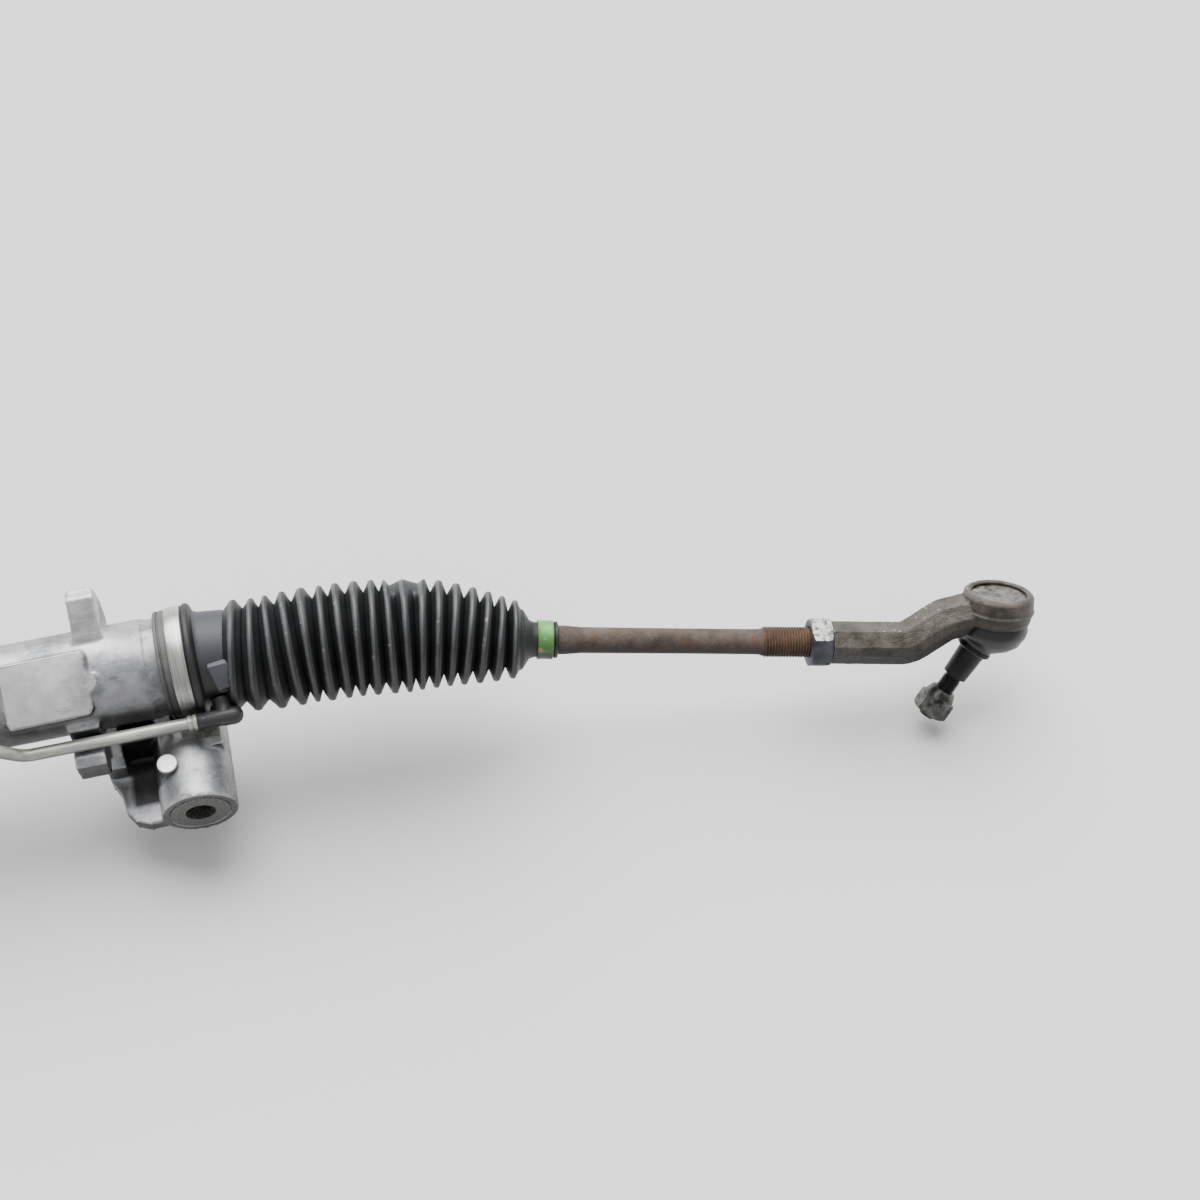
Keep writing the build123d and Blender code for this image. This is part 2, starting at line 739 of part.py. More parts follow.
with BuildPart() as outer_seat:
    ball(socket_line, OUTER_SEAT_R)
    tube(socket_line, 0, CAP_LOW - 0.1, OUTER_SEAT_R)
    bore(socket_line, CAP_LOW - 0.1, 14, 20)
    ball(socket_line, OUTER_BALL_R + RUNNING, mode=Mode.SUBTRACT)
    bore(socket_line, -14, -5.0, 20)
save_both_ends(outer_seat, "outer_seat")

STUD_NECK_R = 5.4
STUD_SHOULDER_R = 7.2
STUD_TAPER_END_R = 6.4
STUD_THREAD_R = 4.9
with BuildPart() as ball_stud:
    ball(stud_line, OUTER_BALL_R)
    turn(
        stud_line,
        [
            (5, 0),
            (5, STUD_NECK_R),
            (14, STUD_NECK_R),
            (16.5, STUD_SHOULDER_R),
            (22, STUD_SHOULDER_R),
            (37.5, STUD_TAPER_END_R),
            (38.2, STUD_THREAD_R),
            (63, STUD_THREAD_R),
            (64, STUD_THREAD_R - 1),
            (64, 0),
        ],
    )
save_both_ends(ball_stud, "ball_stud")

with BuildPart() as stud_nut:
    hexagon(stud_line, 52, 62, 17)
    turn(stud_line, [(47, 0), (47, 6.6), (51, 8.0), (52.5, 8.0), (52.5, 0)])
    bore(stud_line, 46, 63, STUD_THREAD_R)
save_both_ends(stud_nut, "stud_nut")

BOOT_RING_IN = 8.45
with BuildPart() as dust_boot_ring:
    tube(stud_line, 18.6, 20.4, 9.4, BOOT_RING_IN)
save_both_ends(dust_boot_ring, "dust_boot_ring")


# ---------------------------------------------------------------- rubber boots
def between(first, second, share):
    """Direction part of the way from one unit direction to another."""
    angle = acos(first.dot(second))
    return first * (sin((1 - share) * angle) / sin(angle)) + second * (sin(share * angle) / sin(angle))


def ruled_tube(stations):
    """Loft straight between round stations, each a (centre, direction, radius)."""
    sections = []
    for centre, direction, radius in stations:
        square_on = Plane(origin=centre, x_dir=direction.cross(Vector(0, 0.6, -1)), z_dir=direction)
        with BuildSketch(square_on) as ring:
            Circle(radius)
        sections.append(ring.sketch)
    return loft(sections, ruled=True, mode=Mode.PRIVATE)


def dust_boot_stations(radii):
    """Stations from the socket neck to the ball stud's shoulder, for six radii."""
    stations = [
        (outer_ball + socket_direction * -1.2, socket_direction * -1, radii[0]),
        (outer_ball + socket_direction * OUTER_NECK_LOW, socket_direction * -1, radii[1]),
    ]
    bends = ((0.5, 11.5), (0.85, 15.0), (1, 18.2), (1, 21.2))
    for (share, along), radius in zip(bends, radii[2:]):
        direction = between(socket_direction * -1, stud_direction, share)
        stations.append((outer_ball + direction * along, direction, radius))
    return stations


with BuildPart() as dust_boot:
    add(ruled_tube(dust_boot_stations([16.8, 17.0, 15.4, 11.6, 8.4, 8.4])))
    add(ruled_tube(dust_boot_stations([15.1, 15.1, 13.9, 10.1, 7.25, 7.25])), mode=Mode.SUBTRACT)
save_both_ends(dust_boot, "dust_boot")

RIDGES = 18
RIDGE_R = 29.2
FIRST_RIDGE = 28.4
BOOT_SAG = Vector(0, -0.86, -0.51)
JOIN = PIVOT_X - CLAMP_X  # along the boot, where the rack line meets the tie rod line


def ease(value, start, end):
    """Smooth step from 0 before start to 1 after end."""
    share = min(max((value - start) / (end - start), 0), 1)
    return share * share * (3 - 2 * share)


def boot_centre(along):
    """Centre of the boot at a distance from the middle of its large clamp."""
    if along < JOIN:
        point = Vector(CLAMP_X + along, RACK_Y, RACK_Z)
    else:
        point = pivot + tie_direction * (along - JOIN)
    hang = 3.9 * ease(along, 14, 30) * (1 - ease(along, 58, 96))
    arch = 2.3 * ease(along, 90, 122) * (1 - ease(along, 130, 168))
    return point + BOOT_SAG * (hang - arch)


def boot_stations(profile):
    """Round stations along the boot's bent centre line, from (along, radius) pairs."""
    reach = 5.0
    stations = []
    for along, radius in profile:
        if along < 12:
            direction = Vector(1, 0, 0)
        elif along > JOIN + BOOT_SEAT_START - 4:
            direction = tie_direction
        else:
            direction = unit(boot_centre(along + reach) - boot_centre(along - reach))
        stations.append((boot_centre(along), direction, radius))
    return stations


def ridge_position(index):
    """Distance of a ridge from the large clamp; the ridges close up towards the small end."""
    return FIRST_RIDGE + 8.8 * index - 0.04 * index * (index - 1)


def ridge_radius(index):
    """Ridge radius: a short run-in, a level middle and a taper towards the small end."""
    run_in = max(0, 3 - index)
    run_out = max(0, index - 10)
    return RIDGE_R - 0.6 * run_in - 0.15 * run_in**2 - 0.75 * run_out - 0.08 * run_out**2


def boot_outside():
    """Outer profile: cuff, bead, neck, ridges, cone and small cuff."""
    profile = [(-9.8, 27.4), (4.6, 27.4), (5.4, 28.5), (8.0, 28.3), (9.4, 24.0), (22.0, 23.2)]
    for index in range(RIDGES):
        here = ridge_position(index)
        profile.append((here, ridge_radius(index)))
        if index < RIDGES - 1:
            valley = (here + ridge_position(index + 1)) / 2
            depth = 6.0 - 1.4 * max(0, 3 - index)
            profile.append((valley, min(ridge_radius(index), ridge_radius(index + 1)) - depth))
    profile += [(here + 4.5, 14.2), (JOIN + BOOT_SEAT_START, 9.6)]
    profile += [(JOIN + CLIP_START, 8.9), (JOIN + BOOT_LIP_END, 8.8)]
    return profile


def boot_inside():
    """Inner profile, clear of the housing seat and of everything that moves within."""
    inner = 21.4
    return [
        (-9.8, SEAT_R + SLIP),
        (6.6, SEAT_R + SLIP),
        (9.0, 22.3),
        (14.0, inner),
        (22.0, inner),
        (30.0, inner),
        (45.0, inner),
        (JOIN, inner),
        (80.0, inner),
        (96.0, inner),
        (112.0, 21.0),
        (128.0, 19.5),
        (145.0, 16.0),
        (158.0, 13.0),
        (JOIN + BOOT_SEAT_START - 4, 9.5),
        (JOIN + BOOT_SEAT_START, TIE_SEAT_R + SLIP),
        (JOIN + BOOT_LIP_END, TIE_SEAT_R + SLIP),
    ]


with BuildPart() as boot:
    add(ruled_tube(boot_stations(boot_outside())))
    add(ruled_tube(boot_stations(boot_inside())), mode=Mode.SUBTRACT)
save_both_ends(boot, "boot")

clamp_line = Plane(origin=(CLAMP_X, RACK_Y, RACK_Z), x_dir=(1, 0, 0), z_dir=(0, -1, 0))
with BuildPart() as boot_clamp:
    tube(clamp_line, -3.9, 3.9, 28.1, 27.5)
    # Folded ear that closes the band, behind the barrel.
    ear_plane = Plane(origin=(CLAMP_X, RACK_Y, RACK_Z), x_dir=(0, 0.94, -0.34), z_dir=(1, 0, 0))
    slab(ear_plane, [(27.6, -4.0), (31.2, -3.4), (31.2, 3.4), (27.6, 4.0)], 3.2)
save_both_ends(boot_clamp, "boot_clamp")

with BuildPart() as boot_clip:
    tube(tie_line, CLIP_START, CLIP_END, 9.9, 9.0)
save_both_ends(boot_clip, "boot_clip")

# ---------------------------------------------------------------- breather pipe and its rubber elbows
ELBOW_START = CLAMP_X + 7.0
ELBOW_END = CLAMP_X + 21.0
ELBOW_R = 4.7
BRANCH_X = CLAMP_X + 16.5
PIPE_END_X = CLAMP_X + 14.0
LEFT_PIPE_Y = 16.0
LEFT_PIPE_Z = 30.5


def beside_rack(x, y, z):
    """Point at x, y and z from the rack axis."""
    return Vector(x, RACK_Y + y, RACK_Z + z)


with BuildPart() as breather_pipe:
    with BuildLine() as pipe_route:
        FilletPolyline(
            beside_rack(PIPE_END_X, PIPE_Y, PIPE_Z),
            beside_rack(168, PIPE_Y, PIPE_Z),
            beside_rack(152, -33.5, 12),
            beside_rack(136, -20.5, 30.5),
            beside_rack(112, LEFT_PIPE_Y, LEFT_PIPE_Z),
            beside_rack(-PIPE_END_X, LEFT_PIPE_Y, LEFT_PIPE_Z),
            radius=12,
        )
    with BuildSketch(Plane(origin=pipe_route.line @ 0, z_dir=(-1, 0, 0))) as pipe_section:
        Circle(PIPE_R)
    sweep(pipe_section.sketch, path=pipe_route.line)
    # Beads that hold the elbows.
    for x, y, z in ((CLAMP_X + 6.0, PIPE_Y, PIPE_Z), (-CLAMP_X - 6.0, LEFT_PIPE_Y, LEFT_PIPE_Z)):
        bead_line = Plane(origin=beside_rack(x, y, z), x_dir=(1, 0, 0), z_dir=(0, -1, 0))
        turn(bead_line, [(-0.9, 0), (-0.9, 3.6), (-0.4, 4.0), (0.4, 4.0), (0.9, 3.6), (0.9, 0)])
save(breather_pipe, "breather_pipe")


def elbow(side, y, z):
    """Rubber elbow from the pipe end into the boot's cuff."""
    start = Plane(origin=beside_rack(side * ELBOW_START, y, z), x_dir=(side, 0, 0), z_dir=(0, -side, 0))
    reach = sqrt(y * y + z * z)
    inward = Plane(
        origin=beside_rack(side * BRANCH_X, y, z), x_dir=(0, -y / reach, -z / reach), z_dir=(1, 0, 0)
    )
    tube(start, 0, ELBOW_END - ELBOW_START - ELBOW_R, ELBOW_R)
    end_centre = beside_rack(side * (ELBOW_END - ELBOW_R), y, z)
    ball(Plane(origin=end_centre, x_dir=start.x_dir, z_dir=start.z_dir), ELBOW_R)
    tube(inward, 0, reach - 27.2, 4.2)
    bore(start, -1, PIPE_END_X - ELBOW_START + 0.3, PIPE_R + SLIP)


with BuildPart() as breather_elbow_right:
    elbow(1, PIPE_Y, PIPE_Z)
save(breather_elbow_right, "breather_elbow_right")

with BuildPart() as breather_elbow_left:
    elbow(-1, LEFT_PIPE_Y, LEFT_PIPE_Z)
save(breather_elbow_left, "breather_elbow_left")
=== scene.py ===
"""Looks of the rack and pinion steering gear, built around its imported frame.

Lengths are in mm until a mesh is made; the materials work in metres.
"""

import json
import math

import bmesh
import bpy
from mathutils import Matrix, Vector, noise

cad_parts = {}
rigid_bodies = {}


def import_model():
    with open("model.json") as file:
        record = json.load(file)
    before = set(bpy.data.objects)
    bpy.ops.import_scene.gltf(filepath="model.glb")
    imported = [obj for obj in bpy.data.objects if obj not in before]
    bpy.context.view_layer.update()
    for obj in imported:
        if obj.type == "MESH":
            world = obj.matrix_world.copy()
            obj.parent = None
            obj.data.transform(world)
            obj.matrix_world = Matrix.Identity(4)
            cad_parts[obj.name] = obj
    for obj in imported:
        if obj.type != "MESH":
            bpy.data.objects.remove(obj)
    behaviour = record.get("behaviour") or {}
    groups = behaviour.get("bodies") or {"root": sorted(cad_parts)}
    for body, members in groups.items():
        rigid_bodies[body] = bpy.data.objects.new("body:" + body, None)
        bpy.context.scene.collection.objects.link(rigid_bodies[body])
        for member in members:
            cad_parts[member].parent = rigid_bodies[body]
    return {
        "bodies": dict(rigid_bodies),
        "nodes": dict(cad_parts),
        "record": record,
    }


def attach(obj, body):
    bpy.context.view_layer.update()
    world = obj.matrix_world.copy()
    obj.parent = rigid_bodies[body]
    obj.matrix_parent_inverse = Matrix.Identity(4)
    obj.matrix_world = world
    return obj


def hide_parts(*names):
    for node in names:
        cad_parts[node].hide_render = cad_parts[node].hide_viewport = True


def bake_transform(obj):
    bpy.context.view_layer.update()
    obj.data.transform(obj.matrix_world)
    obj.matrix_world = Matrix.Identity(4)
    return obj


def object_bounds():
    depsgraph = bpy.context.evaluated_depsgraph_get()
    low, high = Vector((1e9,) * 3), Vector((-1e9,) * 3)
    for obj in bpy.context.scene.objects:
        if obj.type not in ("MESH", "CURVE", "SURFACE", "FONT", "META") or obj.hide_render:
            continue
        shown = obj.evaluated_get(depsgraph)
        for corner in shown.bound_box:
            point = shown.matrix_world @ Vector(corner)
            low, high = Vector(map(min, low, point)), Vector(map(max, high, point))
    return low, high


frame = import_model()
cad_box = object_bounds()
NODES = frame["nodes"]
MM = 0.001

# ---------------------------------------------------------------- the frame's own lines
RACK_Y = 67.5
RACK_Z = 33.5
CLAMP_X = 250.0  # middle of the boot's large clamp
JOIN = 63.3  # from there to the centre of the inner ball
PIVOT = Vector((CLAMP_X + JOIN, RACK_Y, RACK_Z))
SWEEP = math.radians(10.08)
DROOP = math.radians(6.0)
TIE = Vector((math.cos(DROOP) * math.cos(SWEEP), -math.cos(DROOP) * math.sin(SWEEP), -math.sin(DROOP)))
CAP_LEAN = Vector((0.187, 0.574, 0.797))
SOCKET = (CAP_LEAN - TIE * CAP_LEAN.dot(TIE)).normalized()
ACROSS = TIE.cross(SOCKET)
BALL = PIVOT + TIE * 354.6 + SOCKET * 15.0
TILT = math.radians(28.5)
STUD = SOCKET * -math.cos(TILT) + TIE * -math.sin(TILT)
FACING = Vector((0, -0.49, 0.872))  # the side of the rack that is seen best
PINION = Vector((-120, 50.94, RACK_Z))

X_AXIS = Vector((1, 0, 0))
Y_AXIS = Vector((0, 1, 0))
Z_AXIS = Vector((0, 0, 1))


def facing_start(axis):
    """Direction at right angles to an axis, on the side that is seen best."""
    return (FACING - axis * FACING.dot(axis)).normalized()


# ---------------------------------------------------------------- mesh data
def turned(origin, axis, profile_at, segments=72, start=None):
    """Closed surface about an axis; its closed profile of (along, radius) may change with the angle."""
    start = start or facing_start(axis)
    other = axis.cross(start)
    verts = []
    for k in range(segments):
        angle = 2 * math.pi * k / segments
        out = start * math.cos(angle) + other * math.sin(angle)
        profile = profile_at(angle) if callable(profile_at) else profile_at
        verts += [origin + axis * along + out * radius for along, radius in profile]
    rows = len(profile)
    faces = []
    for k in range(segments):
        after = (k + 1) % segments
        for row in range(rows):
            below = (row + 1) % rows
            faces.append((k * rows + row, k * rows + below, after * rows + below, after * rows + row))
    return verts, faces


def threaded(length_from, length_to, pitch, crest, root, steps=8):
    """Rows of a thread as a function of the angle, fading at both ends; the caller closes the profile."""

    def rows(angle):
        points = []
        count = int(round((length_to - length_from) / pitch * steps))
        for k in range(count + 1):
            along = length_from + (length_to - length_from) * k / count
            turn = (along / pitch - angle / (2 * math.pi)) % 1.0
            height = min(1.0, max(0.0, 1.25 - 2.5 * abs(turn - 0.5)))
            fade = min(1.0, (along - length_from) / pitch, (length_to - along) / pitch)
            points.append((along, root + (crest - root) * height * fade))
        return points

    return rows


NUT_CHAMFER_SLOPE = 0.56
NUT_LEAD_IN = 0.9
NUT_EDGE = 0.075


def nut(origin, axis, start_at, end_at, flats, bore, first_corner):
    """Hexagonal nut with turned chamfers at both faces."""
    inner = flats / 2 * 0.97

    def rows(angle):
        in_flat = (angle + math.pi / 6) % (math.pi / 3) - math.pi / 6
        outer = flats / 2 / math.cos(math.pi / 6 - abs(in_flat))
        drop = max(0.0, outer - inner) * NUT_CHAMFER_SLOPE
        half = [
            (NUT_LEAD_IN, bore),
            (0, bore + NUT_LEAD_IN),
            (0, inner - 0.3),
            (0.1, inner),
            (0.1 + drop, outer - NUT_EDGE),
            (0.35 + drop, outer),
        ]
        return [(start_at + depth, r) for depth, r in half] + [(end_at - depth, r) for depth, r in half[::-1]]

    return turned(origin, axis, rows, 96, first_corner)


def swept(stations, segments=96):
    """Closed shell through round stations (centre, direction, radius at an angle)."""
    verts = []
    for centre, direction, radius_at in stations:
        start = facing_start(direction)
        other = direction.cross(start)
        for k in range(segments):
            angle = 2 * math.pi * k / segments
            radius = radius_at(angle) if callable(radius_at) else radius_at
            verts.append(centre + (start * math.cos(angle) + other * math.sin(angle)) * radius)
    faces = []
    count = len(stations)
    for row in range(count):
        here, below = row * segments, (row + 1) % count * segments
        for k in range(segments):
            after = (k + 1) % segments
            faces.append((here + k, below + k, below + after, here + after))
    return verts, faces


def prism(origin, x_dir, y_dir, outline, low, high, bevel=0.0):
    """Closed outline pushed from low to high along x_dir cross y_dir, its edges rounded."""
    normal = x_dir.cross(y_dir).normalized()
    count = len(outline)
    verts = [origin + x_dir * x + y_dir * y + normal * low for x, y in outline]
    verts += [origin + x_dir * x + y_dir * y + normal * high for x, y in outline]
    faces = [tuple(range(count))[::-1], tuple(range(count, 2 * count))]
    faces += [(k, (k + 1) % count, count + (k + 1) % count, count + k) for k in range(count)]
    if not bevel:
        return verts, faces
    shape = bmesh.new()
    made = [shape.verts.new(v) for v in verts]
    for face in faces:
        shape.faces.new([made[k] for k in face])
    bmesh.ops.recalc_face_normals(shape, faces=shape.faces)
    bmesh.ops.bevel(
        shape, geom=shape.edges[:], offset=bevel, segments=2, profile=0.6, affect="EDGES", clamp_overlap=True
    )
    shape.verts.index_update()
    data = [v.co.copy() for v in shape.verts], [tuple(v.index for v in f.verts) for f in shape.faces]
    shape.free()
    return data


def joined(*parts):
    """Several mesh data as one."""
    verts, faces = [], []
    for part_verts, part_faces in parts:
        first = len(verts)
        verts += part_verts
        faces += [tuple(first + k for k in face) for face in part_faces]
    return verts, faces


def mirrored(data):
    """Mirror image for the left end."""
    verts, faces = data
    return [Vector((-v.x, v.y, v.z)) for v in verts], [face[::-1] for face in faces]


def make_object(name, data, sharp=38, spots=None):
    """Object from mesh data in mm, cleaned and smooth up to an angle.

    spots tells which faces get the second look.
    """
    verts, faces = data
    mesh = bpy.data.meshes.new(name)
    mesh.from_pydata([v * MM for v in verts], [], faces)
    if spots:
        mesh.polygons.foreach_set("material_index", [int(spots(k)) for k in range(len(faces))])
    shape = bmesh.new()
    shape.from_mesh(mesh)
    bmesh.ops.remove_doubles(shape, verts=shape.verts, dist=1e-6)
    bmesh.ops.dissolve_degenerate(shape, edges=shape.edges, dist=1e-7)
    bmesh.ops.recalc_face_normals(shape, faces=shape.faces)
    shape.to_mesh(mesh)
    shape.free()
    mesh.shade_smooth()
    mesh.set_sharp_from_angle(angle=math.radians(sharp))
    obj = bpy.data.objects.new(name, mesh)
    bpy.context.scene.collection.objects.link(obj)
    return obj


def add_piece(name, data, material, body, replaces=(), sharp=38, spots=None, second=None):
    """One piece that rides on a body."""
    obj = make_object(name, data, sharp, spots)
    obj.data.materials.append(material)
    if spots:
        obj.data.materials.append(second)
    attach(obj, body)
    if replaces:
        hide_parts(*replaces)
    return obj


def add_both_ends(name, data, material, body, node=None, sharp=38, spots=None, second=None):
    """The piece of the right end and its mirror image; body and node names get the end's name."""
    for end, shape in (("right", data), ("left", mirrored(data))):
        whole_body = body if body in frame["bodies"] else f"{body}_{end}"
        replaced = (f"{node}_{end}",) if node else ()
        add_piece(f"{name}_{end}", shape, material, whole_body, replaced, sharp, spots, second)


# ---------------------------------------------------------------- materials
class Painter:
    """Builds one procedural material on Blender's principled shader, in the object's own coordinates."""

    def __init__(self, name, metallic, roughness):
        self.material = bpy.data.materials.new(name)
        self.material.use_nodes = True
        self.tree = self.material.node_tree
        self.shader = self.tree.nodes["Principled BSDF"]
        self.shader.inputs["Metallic"].default_value = metallic
        self.shader.inputs["Roughness"].default_value = roughness
        self.place = self.tree.nodes.new("ShaderNodeTexCoord").outputs["Object"]
        self.colour = None

    def node(self, kind, **values):
        """A node with its plain properties set."""
        made = self.tree.nodes.new(kind)
        for key, value in values.items():
            setattr(made, key, value)
        return made

    def link(self, output, target):
        """Join two sockets."""
        self.tree.links.new(output, target)

    def stretched(self, stretch):
        """The object's coordinates, stretched."""
        if stretch is None:
            return self.place
        mapping = self.node("ShaderNodeMapping")
        mapping.inputs["Scale"].default_value = stretch
        self.link(self.place, mapping.inputs["Vector"])
        return mapping.outputs["Vector"]

    def noise(self, scale, detail=4.0, stretch=None, rough=0.55):
        """Noise value at a scale in waves per metre."""
        made = self.node("ShaderNodeTexNoise")
        made.inputs["Scale"].default_value = scale
        made.inputs["Detail"].default_value = detail
        made.inputs["Roughness"].default_value = rough
        self.link(self.stretched(stretch), made.inputs["Vector"])
        return made.outputs["Fac"]

    def cells(self, scale):
        """Distance to the nearest cell point."""
        made = self.node("ShaderNodeTexVoronoi")
        made.inputs["Scale"].default_value = scale
        self.link(self.place, made.inputs["Vector"])
        return made.outputs["Distance"]

    def band(self, value, low, high, to_low=0.0, to_high=1.0):
        """A value mapped from low..high to to_low..to_high, clamped."""
        made = self.node("ShaderNodeMapRange")
        self.link(value, made.inputs["Value"])
        made.inputs["From Min"].default_value = low
        made.inputs["From Max"].default_value = high
        made.inputs["To Min"].default_value = to_low
        made.inputs["To Max"].default_value = to_high
        return made.outputs["Result"]

    def product(self, first, second):
        """Two values multiplied."""
        made = self.node("ShaderNodeMath", operation="MULTIPLY")
        self.link(first, made.inputs[0])
        if isinstance(second, (int, float)):
            made.inputs[1].default_value = second
        else:
            self.link(second, made.inputs[1])
        return made.outputs[0]

    def along(self, direction):
        """Distance in metres along a direction from the frame's origin."""
        made = self.node("ShaderNodeVectorMath", operation="DOT_PRODUCT")
        self.link(self.place, made.inputs[0])
        made.inputs[1].default_value = direction
        return made.outputs["Value"]

    def upward(self, direction):
        """How far the surface faces a direction."""
        geometry = self.node("ShaderNodeNewGeometry")
        made = self.node("ShaderNodeVectorMath", operation="DOT_PRODUCT")
        self.link(geometry.outputs["Normal"], made.inputs[0])
        made.inputs[1].default_value = direction
        return made.outputs["Value"]

    def edges(self, low=0.52, high=0.6):
        """Convex edges of a dense mesh."""
        geometry = self.node("ShaderNodeNewGeometry")
        return self.band(geometry.outputs["Pointiness"], low, high)

    def base(self, dark, light, factor):
        """First colour: a mix by a factor."""
        mix = self.node("ShaderNodeMix", data_type="RGBA")
        mix.inputs["A"].default_value = (*dark, 1)
        mix.inputs["B"].default_value = (*light, 1)
        self.link(factor, mix.inputs["Factor"])
        self.colour = mix.outputs["Result"]

    def over(self, colour, factor):
        """A colour laid over what is there, by a factor."""
        mix = self.node("ShaderNodeMix", data_type="RGBA")
        self.link(self.colour, mix.inputs["A"])
        mix.inputs["B"].default_value = (*colour, 1)
        self.link(factor, mix.inputs["Factor"])
        self.colour = mix.outputs["Result"]

    def bump(self, height, distance, strength=1.0):
        """Surface relief; several calls stack."""
        made = self.node("ShaderNodeBump")
        made.inputs["Distance"].default_value = distance
        made.inputs["Strength"].default_value = strength
        self.link(height, made.inputs["Height"])
        links = self.shader.inputs["Normal"].links
        if links:
            self.link(links[0].from_socket, made.inputs["Normal"])
        self.link(made.outputs["Normal"], self.shader.inputs["Normal"])

    def painted_underside_shade(self, amount, colour=(0.012, 0.012, 0.013)):
        """Painted shade: darker where the surface turns down and to the front, away from the light."""
        self.over(colour, self.band(self.upward((0, 0.45, 0.89)), -0.3, 0.5, amount, 0))

    def inside(self, ranges, soft):
        """1 inside a box given by its ranges of |x|, y and z in metres."""
        mirror = self.node("ShaderNodeMath", operation="ABSOLUTE")
        self.link(self.along((1, 0, 0)), mirror.inputs[0])
        values = [mirror.outputs[0], self.along((0, 1, 0)), self.along((0, 0, 1))]
        result = None
        for value, (low, high) in zip(values, ranges):
            share = self.product(self.band(value, low, low + soft), self.band(value, high - soft, high, 1, 0))
            result = self.product(result, share) if result else share
        return result

    def rough(self, factor, low, high):
        """Roughness by a factor."""
        self.link(self.band(factor, 0.0, 1.0, low, high), self.shader.inputs["Roughness"])

    def done(self):
        """Join the colour and give the material."""
        self.link(self.colour, self.shader.inputs["Base Color"])
        return self.material


WORN_EDGE = (0.86, 0.86, 0.85)
# Painted shadow inside the recessed pocket at each boss, within the box below.
POCKET_PAINTED_SHADOW = (0.006, 0.006, 0.006)
POCKET_SHADOW_BOX = ((0.2105, 0.2315), (0.012, 0.06), (-0.03, 0.022))
# Painted light on the ear's front face, within the box below.
EAR_PAINTED_LIGHT = (0.62, 0.62, 0.63)
EAR_LIGHT_BOX = ((0.195, 0.222), (0.066, 0.108), (0.052, 0.075))


def cast_metal(name, dark, light, grime, sheen):
    """Mottled cast aluminium with scuffs, pits and grime, painted shade where it faces down, a painted shadow
    in the pocket at each boss and a painted light patch on the ear's face.
    """
    paint = Painter(name, 0.75, sheen)
    mottle = paint.noise(55, 6, rough=0.65)
    paint.base(dark, light, paint.band(mottle, 0.36, 0.62))
    fine = paint.noise(900, 3)
    paint.over(light, paint.band(fine, 0.6, 0.72, 0, 0.5))
    scuffs = paint.noise(260, 5, stretch=(0.35, 1, 1))
    paint.over(grime, paint.band(scuffs, 0.6, 0.7, 0, 0.55))
    stains = paint.product(paint.band(paint.noise(28, 5), 0.52, 0.66), 0.35)
    paint.over(grime, stains)
    pits = paint.band(paint.cells(700), 0.0, 0.16, 1, 0)
    paint.over(grime, paint.product(pits, 0.6))
    paint.over(WORN_EDGE, paint.band(paint.edges(0.515, 0.56), 0, 1, 0, 0.65))
    # Painted shade on faces turned down and to the front.
    paint.painted_underside_shade(0.82)
    # Painted shadow in the pocket at each boss.
    paint.over(POCKET_PAINTED_SHADOW, paint.product(paint.inside(POCKET_SHADOW_BOX, 0.003), 0.9))
    # Painted light on the ear's front face, its strength varied by the scuff noise.
    ear = paint.inside(EAR_LIGHT_BOX, 0.004)
    paint.over(EAR_PAINTED_LIGHT, paint.product(ear, paint.band(scuffs, 0.38, 0.55, 0.85, 0.4)))
    paint.rough(mottle, sheen - 0.1, sheen + 0.12)
    paint.bump(fine, 0.00012, 0.6)
    paint.bump(mottle, 0.0005, 0.35)
    return paint.done()


def plain_metal(name, dark, light, roughness=0.4, lines=None, scale=300, metallic=0.9, specks=None):
    """Machined or drawn metal with grain lines or fine specks."""
    paint = Painter(name, metallic, roughness)
    grain = paint.noise(scale, 5, stretch=lines)
    paint.base(dark, light, paint.band(grain, 0.38, 0.62))
    if specks:
        paint.over(specks, paint.band(paint.noise(1500, 3), 0.58, 0.66, 0, 0.85))
    # Painted shade on faces turned down and to the front.
    paint.painted_underside_shade(0.72)
    paint.rough(grain, roughness - 0.08, roughness + 0.12)
    paint.bump(grain, 0.00006, 0.5)
    return paint.done()


def rusty(name, dark, light, rust, rust_low, metallic, grit, roughness=0.78, edge=None):
    """Forged or drawn steel with rust in patches and a gritty skin."""
    paint = Painter(name, metallic, roughness)
    broad = paint.noise(70, 6, rough=0.7)
    paint.base(dark, light, paint.band(broad, 0.35, 0.65))
    patches = paint.noise(240, 6, stretch=(0.6, 1, 1), rough=0.7)
    paint.over(rust, paint.band(patches, rust_low, rust_low + 0.14, 0, 0.85))
    grains = paint.noise(1700, 3)
    paint.over(tuple(c * 0.45 for c in dark), paint.band(grains, 0.56, 0.68, 0, 0.7))
    if edge:
        paint.over(edge, paint.band(paint.edges(), 0, 1, 0, 0.7))
    # Painted shade on faces turned down and to the front.
    paint.painted_underside_shade(0.8)
    paint.rough(broad, roughness - 0.12, roughness + 0.1)
    paint.bump(grains, grit * 0.4, 0.8)
    paint.bump(patches, grit, 0.5)
    return paint.done()


SCRAPED = (0.33, 0.33, 0.32)


